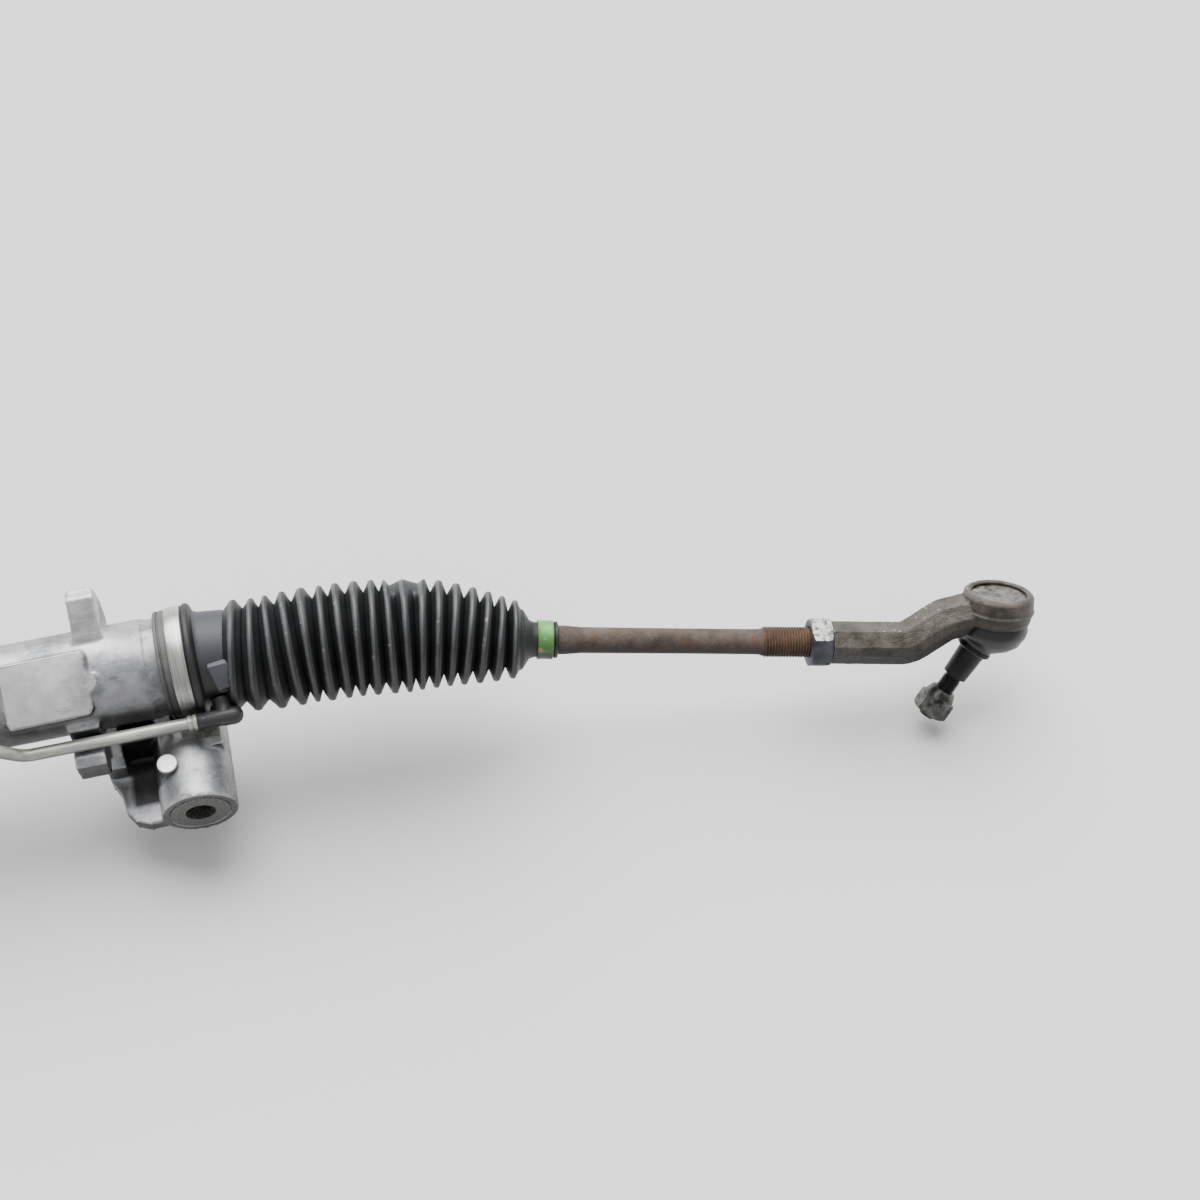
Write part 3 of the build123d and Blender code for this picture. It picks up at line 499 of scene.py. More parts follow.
def rubber(name, dark, light, dust, dust_amount, roughness, scrape=0.0):
    """Black rubber, dusty on the ridges and where it faces up."""
    paint = Painter(name, 0.0, roughness)
    broad = paint.noise(90, 5, rough=0.65)
    paint.base(dark, light, paint.band(broad, 0.35, 0.65))
    fine = paint.noise(1300, 3)
    up = paint.band(paint.upward((0, 0.1, 0.99)), 0.15, 0.95)
    film = paint.product(paint.product(paint.band(fine, 0.3, 0.7, 0.35, 1.0), up), dust_amount)
    paint.over(dust, film)
    if scrape:
        marks = paint.band(paint.noise(330, 5, stretch=(0.5, 1, 1), rough=0.7), 0.62, 0.68)
        paint.over(SCRAPED, paint.product(marks, scrape))
    # Painted shade, near black, on faces turned down and to the front.
    paint.painted_underside_shade(0.85, (0.003, 0.003, 0.003))
    paint.rough(broad, roughness - 0.08, roughness + 0.14)
    paint.bump(fine, 0.00008, 0.5)
    return paint.done()


CAST = cast_metal("cast_aluminium_look", (0.2, 0.205, 0.215), (0.5, 0.505, 0.52), (0.07, 0.07, 0.07), 0.45)
PAD = cast_metal("pad_face_look", (0.3, 0.3, 0.32), (0.74, 0.74, 0.77), (0.1, 0.105, 0.115), 0.42)
SLEEVE = plain_metal(
    "sleeve_look", (0.16, 0.155, 0.15), (0.5, 0.5, 0.48), 0.38, scale=900, specks=(0.04, 0.035, 0.03)
)
BAND = plain_metal("stainless_look", (0.38, 0.37, 0.35), (0.6, 0.6, 0.57), 0.34, (60, 1, 1), 40)
PIPE = plain_metal("pipe_look", (0.47, 0.47, 0.42), (0.68, 0.68, 0.63), 0.42, (0.15, 1, 1), 420, 0.55)
GROUND = plain_metal("ground_steel_look", (0.3, 0.3, 0.3), (0.5, 0.5, 0.49), 0.28, (0.1, 1, 1), 700)
MACHINED = plain_metal("machined_look", (0.26, 0.26, 0.26), (0.46, 0.46, 0.45), 0.36, scale=600)
CAP_METAL = plain_metal(
    "cap_look", (0.07, 0.064, 0.056), (0.3, 0.28, 0.25), 0.3, scale=260, specks=(0.05, 0.045, 0.04)
)
ZINC = plain_metal(
    "worn_zinc_look", (0.035, 0.036, 0.032), (0.2, 0.2, 0.185), 0.42, scale=220, specks=(0.03, 0.028, 0.024)
)
SPRING = plain_metal("spring_look", (0.015, 0.015, 0.016), (0.04, 0.04, 0.042), 0.45)
SAWN = rusty("sawn_patch_look", (0.05, 0.05, 0.045), (0.42, 0.41, 0.38), (0.2, 0.19, 0.17), 0.5, 0.5, 0.0011)
ROD = rusty("rod_look", (0.05, 0.039, 0.031), (0.15, 0.118, 0.096), (0.15, 0.07, 0.035), 0.53, 0.3, 0.0003)
THREAD = rusty(
    "rod_thread_look", (0.055, 0.036, 0.025), (0.16, 0.1, 0.066), (0.22, 0.11, 0.055), 0.5, 0.35, 0.0002
)
FORGED = rusty(
    "forging_look", (0.04, 0.034, 0.028), (0.15, 0.133, 0.114), (0.1, 0.07, 0.05), 0.56, 0.55, 0.0011, 0.5,
    (0.5, 0.47, 0.43),
)
STUD_STEEL = rusty(
    "stud_look", (0.006, 0.006, 0.006), (0.02, 0.019, 0.018), (0.035, 0.026, 0.02), 0.6, 0.5, 0.0002, 0.45
)
BOLT = rusty("bolt_look", (0.05, 0.05, 0.05), (0.12, 0.115, 0.11), (0.16, 0.1, 0.07), 0.6, 0.6, 0.0002, 0.5)
BOOT = rubber("boot_look", (0.004, 0.0042, 0.0046), (0.01, 0.0105, 0.0115), (0.045, 0.05, 0.052), 0.35, 0.5)
RIDGE = rubber(
    "boot_ridge_look", (0.025, 0.028, 0.03), (0.062, 0.068, 0.074), (0.12, 0.13, 0.14), 0.5, 0.42, 0.8
)
LIP = rubber("boot_lip_look", (0.025, 0.026, 0.025), (0.1, 0.104, 0.1), (0.2, 0.205, 0.2), 0.6, 0.65)
CUFF = rubber("cuff_look", (0.022, 0.023, 0.028), (0.036, 0.038, 0.045), (0.07, 0.073, 0.088), 0.6, 0.5)
BOX = rubber("cuff_box_look", (0.06, 0.064, 0.078), (0.085, 0.09, 0.11), (0.13, 0.138, 0.165), 0.7, 0.5)
ELBOW = rubber("elbow_look", (0.008, 0.008, 0.009), (0.017, 0.018, 0.019), (0.1, 0.1, 0.105), 0.45, 0.42, 0.5)
DUST_BOOT = rubber(
    "dust_boot_look", (0.004, 0.004, 0.004), (0.009, 0.009, 0.009), (0.05, 0.055, 0.055), 0.35, 0.35
)


def clip_paint():
    """Green band with painted shading, lighter where it faces up, with a worn edge and a tan mark."""
    paint = Painter("clip_look", 0.1, 0.45)
    # Painted shading: dark green to light green as the face turns up.
    shade = paint.band(paint.upward((0, 0.5, 0.866)), -0.35, 0.95)
    paint.base((0.012, 0.035, 0.012), (0.13, 0.36, 0.085), shade)
    paint.over((0.3, 0.5, 0.24), paint.band(paint.noise(420, 5), 0.6, 0.7, 0, 0.5))
    paint.over((0.3, 0.21, 0.1), paint.band(paint.noise(130, 4), 0.66, 0.72, 0, 0.6))
    paint.bump(paint.noise(900, 3), 0.00005, 0.5)
    return paint.done()


def nut_paint():
    """Pale worn paint in patches over dark blue-grey steel, speckled; the pale shows only on faces turned up,
    as painted light.
    """
    paint = Painter("jam_nut_look", 0.25, 0.55)
    broad = paint.noise(160, 5, rough=0.7)
    paint.base((0.02, 0.023, 0.03), (0.06, 0.067, 0.082), paint.band(broad, 0.35, 0.65))
    # Painted light: the real patches of pale paint show only where the faces turn up.
    lit = paint.band(paint.upward((0, 0.55, 0.83)), 0.45, 0.8)
    patchy = paint.band(paint.noise(420, 6, rough=0.75), 0.4, 0.52)
    paint.over((0.68, 0.68, 0.65), paint.product(paint.product(lit, patchy), 0.95))
    paint.over((0.06, 0.05, 0.045), paint.band(paint.noise(1500, 3), 0.58, 0.66, 0, 0.7))
    paint.bump(broad, 0.0002, 0.5)
    return paint.done()


def pale_plastic_paint():
    """Plain bearing plastic with a faint grain."""
    paint = Painter("bearing_plastic_look", 0.0, 0.45)
    grain = paint.noise(600, 4)
    paint.base((0.62, 0.6, 0.53), (0.75, 0.73, 0.66), grain)
    paint.bump(grain, 0.00005, 0.4)
    return paint.done()


CLIP = clip_paint()
PAINTED_NUT = nut_paint()
PLASTIC = pale_plastic_paint()

LOOKS = {
    "cast_aluminium": CAST,
    "ground_steel": GROUND,
    "machined_steel": MACHINED,
    "sleeve_steel": SLEEVE,
    "stainless_band": BAND,
    "pipe_steel": PIPE,
    "green_clip": CLIP,
    "forged_steel": FORGED,
    "rusty_rod": ROD,
    "painted_nut": PAINTED_NUT,
    "black_steel": BOLT,
    "galvanised": ZINC,
    "black_rubber": DUST_BOOT,
    "pale_plastic": PLASTIC,
    "spring_steel": SPRING,
}
for entry in frame["record"]["subparts"]:
    mesh = NODES[entry["node"]].data
    for k in range(len(mesh.materials)):
        mesh.materials[k] = LOOKS[entry["material_slot"]]
for end in ("right", "left"):
    NODES[f"end_cap_{end}"].data.materials[0] = CAP_METAL


# ---------------------------------------------------------------- the casting
def cast_from(name, node, extras, voxel, smoothing, uneven):
    """A node's solid with extra lumps, melted together as a casting or forging would be."""
    source = NODES[node].data
    mesh = source.copy()
    mesh.materials.clear()
    obj = bpy.data.objects.new(name, mesh)
    bpy.context.scene.collection.objects.link(obj)
    shape = bmesh.new()
    shape.from_mesh(mesh)
    for verts, faces in extras:
        made = [shape.verts.new(v * MM) for v in verts]
        for face in faces:
            shape.faces.new([made[k] for k in face])
    bmesh.ops.remove_doubles(shape, verts=shape.verts, dist=1e-6)
    shape.to_mesh(mesh)
    shape.free()
    remesh = obj.modifiers.new("melt", "REMESH")
    remesh.mode = "VOXEL"
    remesh.voxel_size = voxel * MM
    soften = obj.modifiers.new("soften", "SMOOTH")
    soften.factor = 0.5
    soften.iterations = smoothing
    bpy.context.view_layer.update()
    settled = bpy.data.meshes.new_from_object(obj.evaluated_get(bpy.context.evaluated_depsgraph_get()))
    obj.modifiers.clear()
    obj.data = settled
    settled.name = name
    moved = []
    for vertex in settled.vertices:
        place = vertex.co * 130
        lump = noise.noise(place) * 0.6 + noise.noise(place * 4.3) * 0.4
        moved.extend(vertex.co + vertex.normal * (lump * uneven * MM))
    settled.vertices.foreach_set("co", moved)
    settled.update()
    settled.shade_smooth()
    return obj


def rack_frame(x, y, z):
    """Point at x, y and z from the rack axis."""
    return Vector((x, RACK_Y + y, RACK_Z + z))


EAR_STEP = [(0, 0), (0, 1.6), (11, 1.6), (11, 0)]


def housing_extras():
    """Lumps that the castings have and the solids leave out."""
    extras = []
    for side in (1, -1):
        # Thickening where the bracket's plate meets the barrel.
        outline = [(200, 40), (262, 40), (262, 60), (200, 60)]
        extras.append(prism(Vector((0, 0, 0)), X_AXIS * side, Y_AXIS, outline, -18 * side, 12 * side))
        # Raised rib along the top of the barrel, the mould's parting line.
        outline = [(-22, 24.2), (150, 24.2), (150, 25.9), (-22, 25.9)]
        low, high = sorted((1.2 * side, -0.2 * side))
        extras.append(prism(rack_frame(0, 0, 0), X_AXIS * side, Z_AXIS, outline, low, high))
    # Steps on the upper edge of the ear.
    for k in range(4):
        start = rack_frame(203.4 + 0.2 * k, 30.8 - 5.2 * k, 33.6 - 4.2 * k)
        extras.append(turned(start, X_AXIS, EAR_STEP, 12))
    return extras


housing = cast_from(
    "housing_casting", "gear_housing", housing_extras(), voxel=1.0, smoothing=2, uneven=0.12
)
housing.data.materials.append(CAST)
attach(housing, "housing")
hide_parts("gear_housing")


# ---------------------------------------------------------------- rack boots
RIDGES = 18
BOOT_SAG = Vector((0, -0.86, -0.51))


def ease(value, start, end):
    """Smooth step from 0 before start to 1 after end."""
    share = min(max((value - start) / (end - start), 0), 1)
    return share * share * (3 - 2 * share)


def boot_centre(along):
    """Centre of the boot at a distance from the middle of its large clamp."""
    if along < JOIN:
        point = Vector((CLAMP_X + along, RACK_Y, RACK_Z))
    else:
        point = PIVOT + TIE * (along - JOIN)
    hang = 3.9 * ease(along, 8, 46) * (1 - ease(along, 58, 96))
    arch = 2.3 * ease(along, 90, 122) * (1 - ease(along, 130, 168))
    return point + BOOT_SAG * (hang - arch)


def boot_direction(along):
    """Direction of the boot there."""
    if along < 12:
        return X_AXIS.copy()
    if along > JOIN + 108:
        return TIE.copy()
    return (boot_centre(along + 5) - boot_centre(along - 5)).normalized()


def ridge_position(index):
    """Distance of a ridge from the large clamp."""
    return 28.4 + 8.8 * index - 0.04 * index * (index - 1) - 0.8 * max(0, 3 - index)


def ridge_radius(index):
    """Ridge radius: a short run-in, a level middle and a taper towards the small end."""
    run_in = max(0, 3 - index)
    run_out = max(0, index - 10)
    return 29.2 - 0.4 * run_in - 0.75 * run_out - 0.08 * run_out**2


SLIDE_START = 9.4  # where the cuff starts
CUFF_END = 21.6
CUFF_PROFILE = [
    (SLIDE_START, 24.6), (9.9, 24.1), (11.5, 23.5), (14, 23.3), (19, 23.2), (20.6, 23.1), (CUFF_END, 23.0),
]
CONE_FOOT = 3.0  # from the last ridge to where the cone starts
CONE_DROP = 4.4


def valley(index):
    """Position and radius of the valley after a ridge; valley -1 is where the cuff ends."""
    if index < 0:
        return CUFF_END, 23.0
    middle = (ridge_position(index) + ridge_position(index + 1)) / 2
    depth = 6.0 - 0.5 * max(0, 3 - index)
    return middle, min(ridge_radius(index), ridge_radius(index + 1)) - depth


CREST_ANGLE = math.radians(-78)  # where round the boot the dent is
DENT_RIDGE = 10
CREST_HALF = 1.9
CREST_DROP = 1.4


def fold_side(foot, foot_radius, here, crest):
    """Stations from a valley up to a ridge: a straight wall and a quarter of a round crest."""
    side = 1 if here > foot else -1
    half = min(CREST_HALF, abs(here - foot) * 0.45)
    rise = []
    for share in (0, 0.3, 0.6, 1):
        along = foot + (here - side * half - foot) * share
        rise.append((along, foot_radius + (crest - CREST_DROP - foot_radius) * share))
    for degrees in (25, 50, 72):
        angle = math.radians(degrees)
        rise.append((here - side * half * math.cos(angle), crest - CREST_DROP * (1 - math.sin(angle))))
    return rise


def fold_stations(index):
    """Stations of one fold, from the valley before it to the valley after it."""
    here, crest = ridge_position(index), ridge_radius(index)
    before = valley(index - 1)
    after = (here + CONE_FOOT, crest - CONE_DROP) if index == RIDGES - 1 else valley(index)
    return fold_side(*before, here, crest) + [(here, crest)] + fold_side(*after, here, crest)[::-1]


SEGMENTS = 96
LAND_ROWS = range(3, 7)


def on_land(face):
    """Whether a face of a fold belongs to the worn land on its crest."""
    return face // SEGMENTS in LAND_ROWS


def dented(along, radius, wall=0):
    """Radius there, a function of the angle where one fold is pinched; the wall comes off after the dent."""
    middle = ridge_position(DENT_RIDGE)
    distance = abs(along - middle)
    if distance > 9.5:
        return radius - wall
    tent = ridge_radius(DENT_RIDGE) - 0.9 - 0.42 * distance

    def at(angle):
        off = abs((angle - CREST_ANGLE + math.pi) % (2 * math.pi) - math.pi)
        share = 1 - ease(off, math.radians(20), math.radians(40))
        return radius + (tent - radius) * share * (1 - ease(distance, 5.5, 9.5)) - wall

    return at


def ragged(along, radius_at):
    """Slight unevenness of moulded rubber."""

    def at(angle):
        radius = radius_at(angle) if callable(radius_at) else radius_at
        place = Vector((along * 0.05, math.cos(angle) * 1.7, math.sin(angle) * 1.7))
        return radius + 0.22 * noise.noise(place)

    return at


def boot_shell(stations, wall):
    """Closed rubber shell through (along, radius) stations, with its wall's thickness inside."""
    rows = [(along, radius, 0) for along, radius in stations]
    rows += [(along, radius, wall(along)) for along, radius in stations[::-1]]
    shell = []
    for along, radius, inset in rows:
        radius_at = ragged(along, dented(along, radius, inset))
        shell.append((boot_centre(along), boot_direction(along), radius_at))
    return swept(shell, SEGMENTS)


def boot_wall(along):
    """Wall thickness of the boot."""
    return 1.5 if along < JOIN + 106 else 1.35


FOLDS_ON_RACK = 9
FOLDS_ON_SEAT = 11
LIFT_END = 85  # from the inner ball to where the boot is wholly on the tie rod


def boot_blend(obj, zone):
    """Bake the placement of one piece of the boot into its mesh; every zone is treated the same."""

    if zone == "slide":
        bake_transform(obj)
    elif zone == "sweep":
        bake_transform(obj)
    else:
        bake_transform(obj)


def cuff_box():
    """Moulded box and T-shaped rib on the cuff."""
    down = X_AXIS.cross(FACING)
    base = boot_centre(18)

    def on_cuff(degrees, outline, high, bevel):
        out = FACING * math.cos(math.radians(degrees)) + down * math.sin(math.radians(degrees))
        return prism(base, X_AXIS, out.cross(X_AXIS), outline, 20.5, high, bevel)

    return joined(
        on_cuff(24, [(-4.5, 6.5), (4.6, 7.4), (6.6, 5.0), (6.6, -5.5), (-1.5, -7.0)], 26.6, 0.5),
        on_cuff(50, [(-1.5, 1.9), (6.4, 1.9), (6.4, 3.4), (-1.5, 3.4)], 25.4, 0.3),
        on_cuff(50, [(2.2, -7.5), (4.4, -7.5), (4.4, 2.2), (2.2, 2.2)], 25.2, 0.3),
    )


def lip_profile():
    """Dusty lip of the boot on the barrel side of its clamp, with a groove round it."""
    return [
        (-9.6, 26.9), (-9.1, 27.3), (-7.9, 27.3), (-7.6, 26.6), (-7.0, 26.6), (-6.7, 27.3),
        (-5.0, 27.4), (-4.4, 27.2), (0, 27.15), (0, 24.5), (-9.6, 24.5),
    ]


def bead_profile():
    """Thick bead on the other side of the clamp, down to where the cuff starts."""
    return [
        (0, 24.5), (0, 27.15), (4.5, 27.3), (4.9, 28.3), (5.7, 28.75), (7.0, 28.7),
        (8.0, 28.0), (8.6, 26.4), (9.0, 25.2), (9.4, 24.6), (9.4, 22.6), (6.6, 24.5),
    ]


def cone_profile():
    """Cone after the last ridge, the seat of the clip and the lip at the small end."""
    here, crest = ridge_position(RIDGES - 1), ridge_radius(RIDGES - 1)
    stations = [(here + CONE_FOOT, crest - CONE_DROP), (here + 4.2, 15.4), (here + 5.2, 14.0)]
    seat = [(111.5, 10.0), (113.5, 9.2), (115.4, 8.95), (124.0, 8.9)]
    seat += [(124.4, 9.6), (125.6, 9.5), (126.0, 8.9)]
    return stations + [(JOIN + step, radius) for step, radius in seat]


def boot_pieces():
    """Name, zone, range and mesh data of the cuff, its box, the folds and the cone."""
    pieces = [
        ("cuff", "slide", SLIDE_START, CUFF_END, boot_shell(CUFF_PROFILE, boot_wall)),
        ("cuff_box", "slide", SLIDE_START, CUFF_END, cuff_box()),
    ]
    sweep = valley(FOLDS_ON_RACK - 1)[0], valley(FOLDS_ON_SEAT - 1)[0]
    lift = sweep[1], JOIN + LIFT_END
    for index in range(RIDGES):
        data = boot_shell(fold_stations(index), boot_wall)
        name = f"fold_{index + 1:02d}"
        if index < FOLDS_ON_RACK:
            pieces.append((name, "slide", valley(index - 1)[0], valley(index)[0], data))
        elif index < FOLDS_ON_SEAT:
            pieces.append((name, "sweep", *sweep, data))
        else:
            pieces.append((name, "lift", *lift, data))
    pieces.append(("cone", "lift", *lift, boot_shell(cone_profile(), boot_wall)))
    return pieces


def add_boots():
    """Both boots: lip and bead on the housing, then the cuff, its box, the folds and the cone."""
    clamp = rack_frame(CLAMP_X, 0, 0)
    add_both_ends("boot_lip", turned(clamp, X_AXIS, lip_profile(), 96), LIP, "housing")
    add_both_ends("boot_bead", turned(clamp, X_AXIS, bead_profile(), 96), BOOT, "housing")
    looks = {"cuff": [CUFF], "cuff_box": [BOX], "cone": [BOOT]}
    for name, zone, first, last, data in boot_pieces():
        for end, shape in (("right", data), ("left", mirrored(data))):
            obj = make_object(f"boot_{name}_{end}", shape, 50, on_land if name.startswith("fold") else None)
            for look in looks.get(name, [BOOT, RIDGE]):
                obj.data.materials.append(look)
            if name == "cuff":
                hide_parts(f"boot_{end}")
            boot_blend(obj, zone)


add_boots()


def boot_band():
    """Stainless band with its folded ear."""
    centre = rack_frame(CLAMP_X, 0, 0)
    band = [(-3.9, 27.5), (-3.9, 28.0), (-3.6, 28.15), (3.6, 28.15), (3.9, 28.0), (3.9, 27.5)]
    out = Vector((0, 0.94, -0.34))
    fold = [(27.6, -4.0), (31.2, -3.4), (31.2, 3.4), (27.6, 4.0)]
    ear = prism(centre, out, X_AXIS.cross(out), fold, -3.2, 3.2, 0.4)
    return joined(turned(centre, X_AXIS, band, 128), ear)


add_both_ends("boot_band", boot_band(), BAND, "housing", "boot_clamp")
CLIP_PROFILE = [
    (115.6, 9.05), (115.6, 9.9), (116.1, 10.2), (116.9, 9.9),
    (122.3, 9.9), (123.0, 10.2), (123.5, 9.9), (123.5, 9.05),
]
add_both_ends("clip_band", turned(PIVOT, TIE, CLIP_PROFILE, 64), CLIP, "tie", "boot_clip")


# ---------------------------------------------------------------- tie rods
def arc_points(radius, first, last, count):
    """Points on a ball's outline, angles in degrees from the far pole."""
    points = []
    for k in range(count + 1):
        angle = math.radians(first + (last - first) * k / count)
        points.append((radius * math.cos(angle), radius * math.sin(angle)))
    return points


ROD_THREAD = threaded(231.6, 257.5, pitch=1.5, crest=7.98, root=7.05)
INNER_BALL_R = 12.0
OUTER_BALL_R = 10.5


def tie_rod_rows(angle):
    """Ball, neck, shank, boot seat, rusty rod and thread."""
    rows = arc_points(INNER_BALL_R, 180, 29, 18)
    rows += [(12, 5.8), (24, 5.8), (27, 6.2), (109, 6.2), (112, 7.4), (130, 7.4), (138, 6.7), (160, 6.62)]
    rows += [(185, 6.55), (210, 6.55), (228, 6.6), (230.4, 6.7)]
    rows += ROD_THREAD(angle)
    rows += [(258, 7.5), (300, 7.5), (300, 0)]
    return rows


ROD_ROWS = len(tie_rod_rows(0))
ROWS_BEFORE_THREAD = 30
ROWS_AFTER_THREAD = 4


def on_thread(face):
    """Whether a face of the tie rod belongs to its thread."""
    return ROWS_BEFORE_THREAD < face % ROD_ROWS < ROD_ROWS - ROWS_AFTER_THREAD


add_both_ends(
    "tie_rod_shaft", turned(PIVOT, TIE, tie_rod_rows, 72), ROD, "tie", "tie_rod",
    spots=on_thread, second=THREAD,
)
JAM_NUT_FLATS = 24
nut_corner = ACROSS.copy()
nut_corner.rotate(Matrix.Rotation(math.radians(-27), 3, TIE))
jam = nut(PIVOT, TIE, 256.4, 267.7, JAM_NUT_FLATS, 8.0, nut_corner)
add_both_ends("jam_nut_hex", jam, PAINTED_NUT, "tie", "jam_nut", 25)


# ---------------------------------------------------------------- tie rod ends
def forging_extras():
    """The rim rolled over the cap and the flash line round the socket."""
    rim = [
        (9, 17.2), (9, 18.4), (13.2, 18.2), (14.5, 17.0),
        (14.9, 15.6), (14.3, 14.2), (13.1, 14.0), (12.9, 15.6),
    ]
    flash = [(5.2, 16.5), (5.2, 19.2), (6.6, 19.2), (6.6, 16.5)]
    return [turned(BALL, SOCKET, rim, 72), turned(BALL, SOCKET, flash, 72)]


def mirrored_object(source, name):
    """Mirror image of a finished object."""
    mesh = source.data.copy()
    mesh.transform(Matrix.Scale(-1, 4, X_AXIS))
    mesh.flip_normals()
    obj = bpy.data.objects.new(name, mesh)
    bpy.context.scene.collection.objects.link(obj)
    return obj


forging = cast_from(
    "rod_end_forging_right", "tie_rod_end_right", forging_extras(), voxel=0.45, smoothing=2, uneven=0.2
)
forging.data.materials.append(FORGED)
forgings = {"right": forging, "left": mirrored_object(forging, "rod_end_forging_left")}
for end, obj in forgings.items():
    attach(obj, f"tie_{end}")
    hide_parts(f"tie_rod_end_{end}")

STUD_THREAD = threaded(38.6, 63.2, pitch=1.25, crest=4.95, root=4.25)
STUD_NUT_FLATS = 17


def stud_rows(angle):
    """Ball, neck, taper, thread and end of the stud."""
    rows = arc_points(OUTER_BALL_R, 180, 31, 14)
    rows += [(9.6, 5.4), (14, 5.4), (16.5, 7.2), (22, 7.2), (37.5, 6.4), (38, 4.9)]
    rows += STUD_THREAD(angle)
    rows += [(64, 3.9), (64, 0)]
    return rows


add_both_ends("stud_pin", turned(BALL, STUD, stud_rows, 64), STUD_STEEL, "stud", "ball_stud")
hex_part = nut(BALL, STUD, 51.5, 62, STUD_NUT_FLATS, 5.0, ACROSS)
collar = turned(BALL, STUD, [(47, 5.0), (47, 6.3), (47.4, 6.7), (50.8, 8.0), (52, 8.2), (52, 5.0)], 64)
add_both_ends("stud_nut_hex", joined(hex_part, collar), ZINC, "stud", "stud_nut", 25)


def between(first, second, share):
    """Direction part of the way from one unit direction to another."""
    angle = math.acos(first.dot(second))
    return (first * math.sin((1 - share) * angle) + second * math.sin(share * angle)) / math.sin(angle)


DUST_BOOT_WALL = 1.05
DUST_BOOT_LIFT = 1.2


def dust_boot_shell():
    """Soft bulge from the forging to the stud; a station starts with its share of the stud's lean."""
    stations = [
        (0, -0.2, 16.2), (0, 1.2, 16.9), (0, 4.0, 17.4), (0.1, 7.0, 17.2),
        (0.4, 10.6, 16.0), (0.65, 13.2, 13.6), (0.85, 15.2, 11.0), (1, 17.0, 9.2),
        (1, 18.2, 8.7), (1, 19.4, 9.0), (1, 20.6, 8.7), (1, 21.2, 8.3),
    ]
    down = SOCKET * -1
    outside = []
    for share, along, radius in stations:
        direction = between(down, STUD, share) if share else down
        lift = 0 if share else DUST_BOOT_LIFT
        outside.append((BALL + direction * (along + lift), direction, radius))
    inside = [(centre, direction, radius - DUST_BOOT_WALL) for centre, direction, radius in outside[::-1]]
    return swept(outside + inside, 72)


for end, shape in (("right", dust_boot_shell()), ("left", mirrored(dust_boot_shell()))):
    obj = make_object(f"dust_cover_{end}", shape, 60)
    obj.data.materials.append(DUST_BOOT)
    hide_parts(f"dust_boot_{end}")
    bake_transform(obj)


# ---------------------------------------------------------------- breather pipe ends and elbows
PIPE_ENDS = {"right": (1, -33.5, -3.2), "left": (-1, 16.0, 30.5)}  # side and place from the rack axis
BEADS = [(0, 3.05), (0.5, 3.9), (1.3, 4.1), (2.1, 3.9), (2.5, 3.4)]
BEADS += [(3.0, 3.9), (3.9, 4.25), (4.8, 3.9), (5.2, 3.05)]
BEADS_AT = -2.1
ELBOW_AT = 3.0
BRANCH_AT = 16.5
HEEL_R = 4.7
CUFF_OUTSIDE = 24.0


def elbow_shape(side, y, z):
    """Rubber elbow over the pipe's end with a rounded heel, and its branch to the cuff."""
    axis = X_AXIS * side
    body = [(0, 3.4), (0, 3.9), (0.5, 4.2), (11.0, 4.2), (13.5, 4.6), (18.0, HEEL_R)]
    body += [(18.0 + HEEL_R * math.sin(a), HEEL_R * math.cos(a)) for a in (0.4, 0.8, 1.2)]
    body += [(18.0 + HEEL_R, 0), (12, 0), (12, 3.4)]
    inward = Vector((0, -y, -z)).normalized()
    reach = math.hypot(y, z) - CUFF_OUTSIDE
    branch = [(0, 0), (0, 4.4), (reach - 3.4, 4.4), (reach - 2.0, 5.2)]
    branch += [(reach - 0.8, 5.3), (reach, 4.6), (reach, 0)]
    return joined(
        turned(rack_frame(side * (CLAMP_X + ELBOW_AT), y, z), axis, body, 48),
        turned(rack_frame(side * (CLAMP_X + BRANCH_AT), y, z), inward, branch, 40, X_AXIS.copy()),
    )


for end, place in PIPE_ENDS.items():
    replaced = (f"breather_elbow_{end}",)
    add_piece(f"elbow_{end}", elbow_shape(*place), ELBOW, "housing", replaced)
for end, (side, y, z) in PIPE_ENDS.items():
    beads = turned(rack_frame(side * (CLAMP_X + BEADS_AT), y, z), X_AXIS * side, BEADS, 48)
    add_piece(f"pipe_beads_{end}", beads, PIPE, "housing")


# ---------------------------------------------------------------- details of the housing
def pad_face():
    """Thin pale face of the flat pad, slightly inside its edge."""
    normal = Vector((0, -0.5, 0.866))
    outline = [
        (165.4, 13.4), (204.8, 13.8), (206.0, 11.6), (205.7, 6.0), (207.0, 2.8), (209.6, 1.4), (210.5, -1.0),
        (209.4, -3.6), (206.0, -6.4), (205.4, -13.4), (203.4, -16.0), (166.8, -16.4), (165.6, -13.4),
    ]
    y_dir = normal.cross(X_AXIS)
    return prism(rack_frame(0, 0, 0) + normal * 26.0, X_AXIS, y_dir, outline, -3.5, 0.3, 0.15)


add_piece("pad_face", pad_face(), PAD, "housing")


def sawn_patch():
    """Rough sawn face on top of the block behind the mounting boss."""
    outline = [(-9, -4.4), (-3, -5), (4, -4.2), (9, -5), (9.6, 2), (8.6, 6), (-8.4, 6), (-9.6, 0)]
    slope = Vector((0, 11, 3)).normalized()
    return prism(Vector((252.4, 35.4, 19.3)), X_AXIS, slope, outline, -1.2, 0.4, 0.2)


def round_pad():
    """Bright round pad on the rib of the bracket."""
    profile = [(0, 0), (0, 5.2), (8.4, 5.2), (8.9, 4.7), (8.9, 0)]
    return turned(Vector((234.1, 20.4, 11.0)), Z_AXIS, profile, 48, X_AXIS)


add_both_ends("sawn_patch", sawn_patch(), SAWN, "housing")
add_both_ends("round_pad", round_pad(), CAST, "housing")


SPLINE_TEETH = 36
SPLINE_R = 7.92


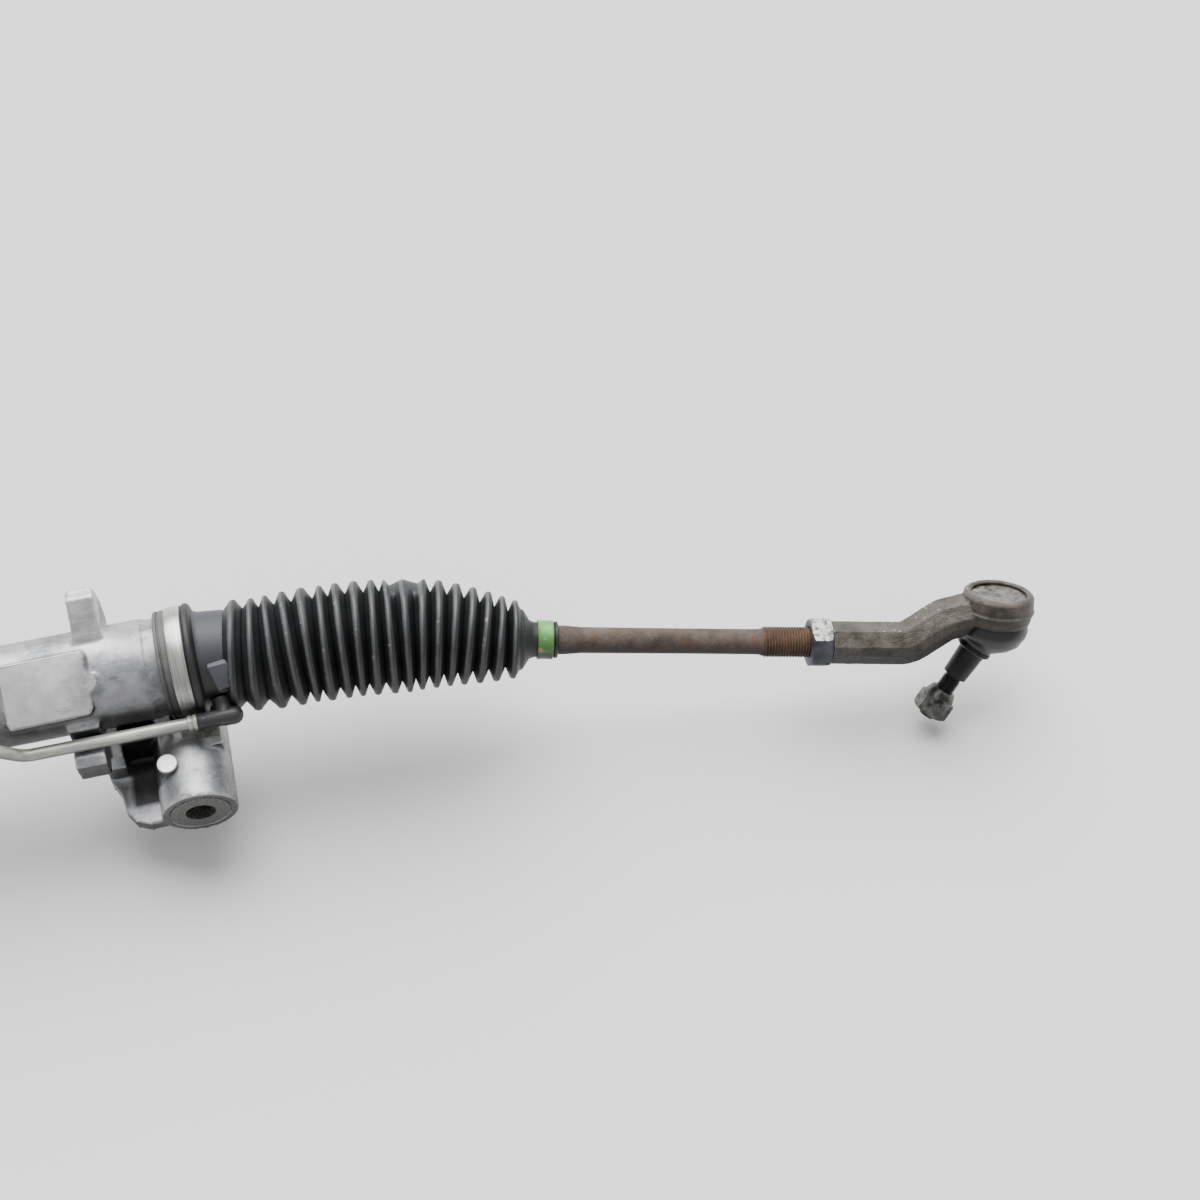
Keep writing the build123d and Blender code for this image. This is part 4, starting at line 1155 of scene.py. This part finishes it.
def spline_ring():
    """Fine teeth round the top of the input shaft."""

    def rows(angle):
        tooth = abs((angle / (2 * math.pi) * SPLINE_TEETH) % 1.0 - 0.5) * 2
        radius = min(SPLINE_R + 0.495 * (tooth - 0.5), 8.15)
        return [(60.4, 7.0), (61.0, radius), (78.6, radius), (79.4, 7.2), (79.4, 6.0), (60.4, 6.0)]

    return turned(PINION, Z_AXIS, rows, 8 * SPLINE_TEETH, X_AXIS)


add_piece("input_spline", spline_ring(), MACHINED, "pinion", sharp=20)


# ---------------------------------------------------------------- floor, light and camera
FLOOR_GAP = 0.004
FLOOR_HALF = 60


def add_floor():
    """Plain pale floor just under the lowest point."""
    low = cad_box[0][2] - FLOOR_GAP
    corners = ((-1, -1), (1, -1), (1, 1), (-1, 1))
    verts = [(FLOOR_HALF * x, FLOOR_HALF * y, low) for x, y in corners]
    mesh = bpy.data.meshes.new("floor")
    mesh.from_pydata(verts, [], [(0, 1, 2, 3)])
    floor = bpy.data.objects.new("floor", mesh)
    bpy.context.scene.collection.objects.link(floor)
    material = bpy.data.materials.new("floor_look")
    material.use_nodes = True
    shader = material.node_tree.nodes["Principled BSDF"]
    shader.inputs["Base Color"].default_value = (0.88, 0.88, 0.88, 1)
    shader.inputs["Roughness"].default_value = 0.9
    mesh.materials.append(material)


def add_sun(name, direction, angle, strength):
    """Wide soft light from a direction."""
    data = bpy.data.lights.new(name, "SUN")
    data.angle = math.radians(angle)
    data.energy = strength
    light = bpy.data.objects.new(name, data)
    light.location = Vector(direction) * 2
    light.rotation_euler = Vector(direction).to_track_quat("Z", "Y").to_euler()
    bpy.context.scene.collection.objects.link(light)


add_floor()
LOOK_AT = Vector((0.45942, 0.04719, 0.04917))
add_sun("key", (0.1, 0.95, 1.2), 60, 6.0)
world = bpy.data.worlds.new("studio")
world.use_nodes = True
world.node_tree.nodes["Background"].inputs["Color"].default_value = (1, 1, 1, 1)
world.node_tree.nodes["Background"].inputs["Strength"].default_value = 0.6
bpy.context.scene.world = world

AZIMUTH = math.radians(-12.824)
ELEVATION = math.radians(59.571)
back = Vector(
    (
        math.sin(AZIMUTH) * math.cos(ELEVATION),
        -math.cos(AZIMUTH) * math.cos(ELEVATION),
        math.sin(ELEVATION),
    )
)
right = Vector((math.cos(AZIMUTH), math.sin(AZIMUTH), 0))
up = back.cross(right)
camera_data = bpy.data.cameras.new("camera")
camera_data.lens = 60
camera_data.sensor_width = 36
camera_data.clip_start = 0.01
camera = bpy.data.objects.new("camera", camera_data)
camera.matrix_world = Matrix(
    (
        (right.x, up.x, back.x, LOOK_AT.x + back.x),
        (right.y, up.y, back.y, LOOK_AT.y + back.y),
        (right.z, up.z, back.z, LOOK_AT.z + back.z),
        (0, 0, 0, 1),
    )
)
bpy.context.scene.collection.objects.link(camera)
bpy.context.scene.camera = camera
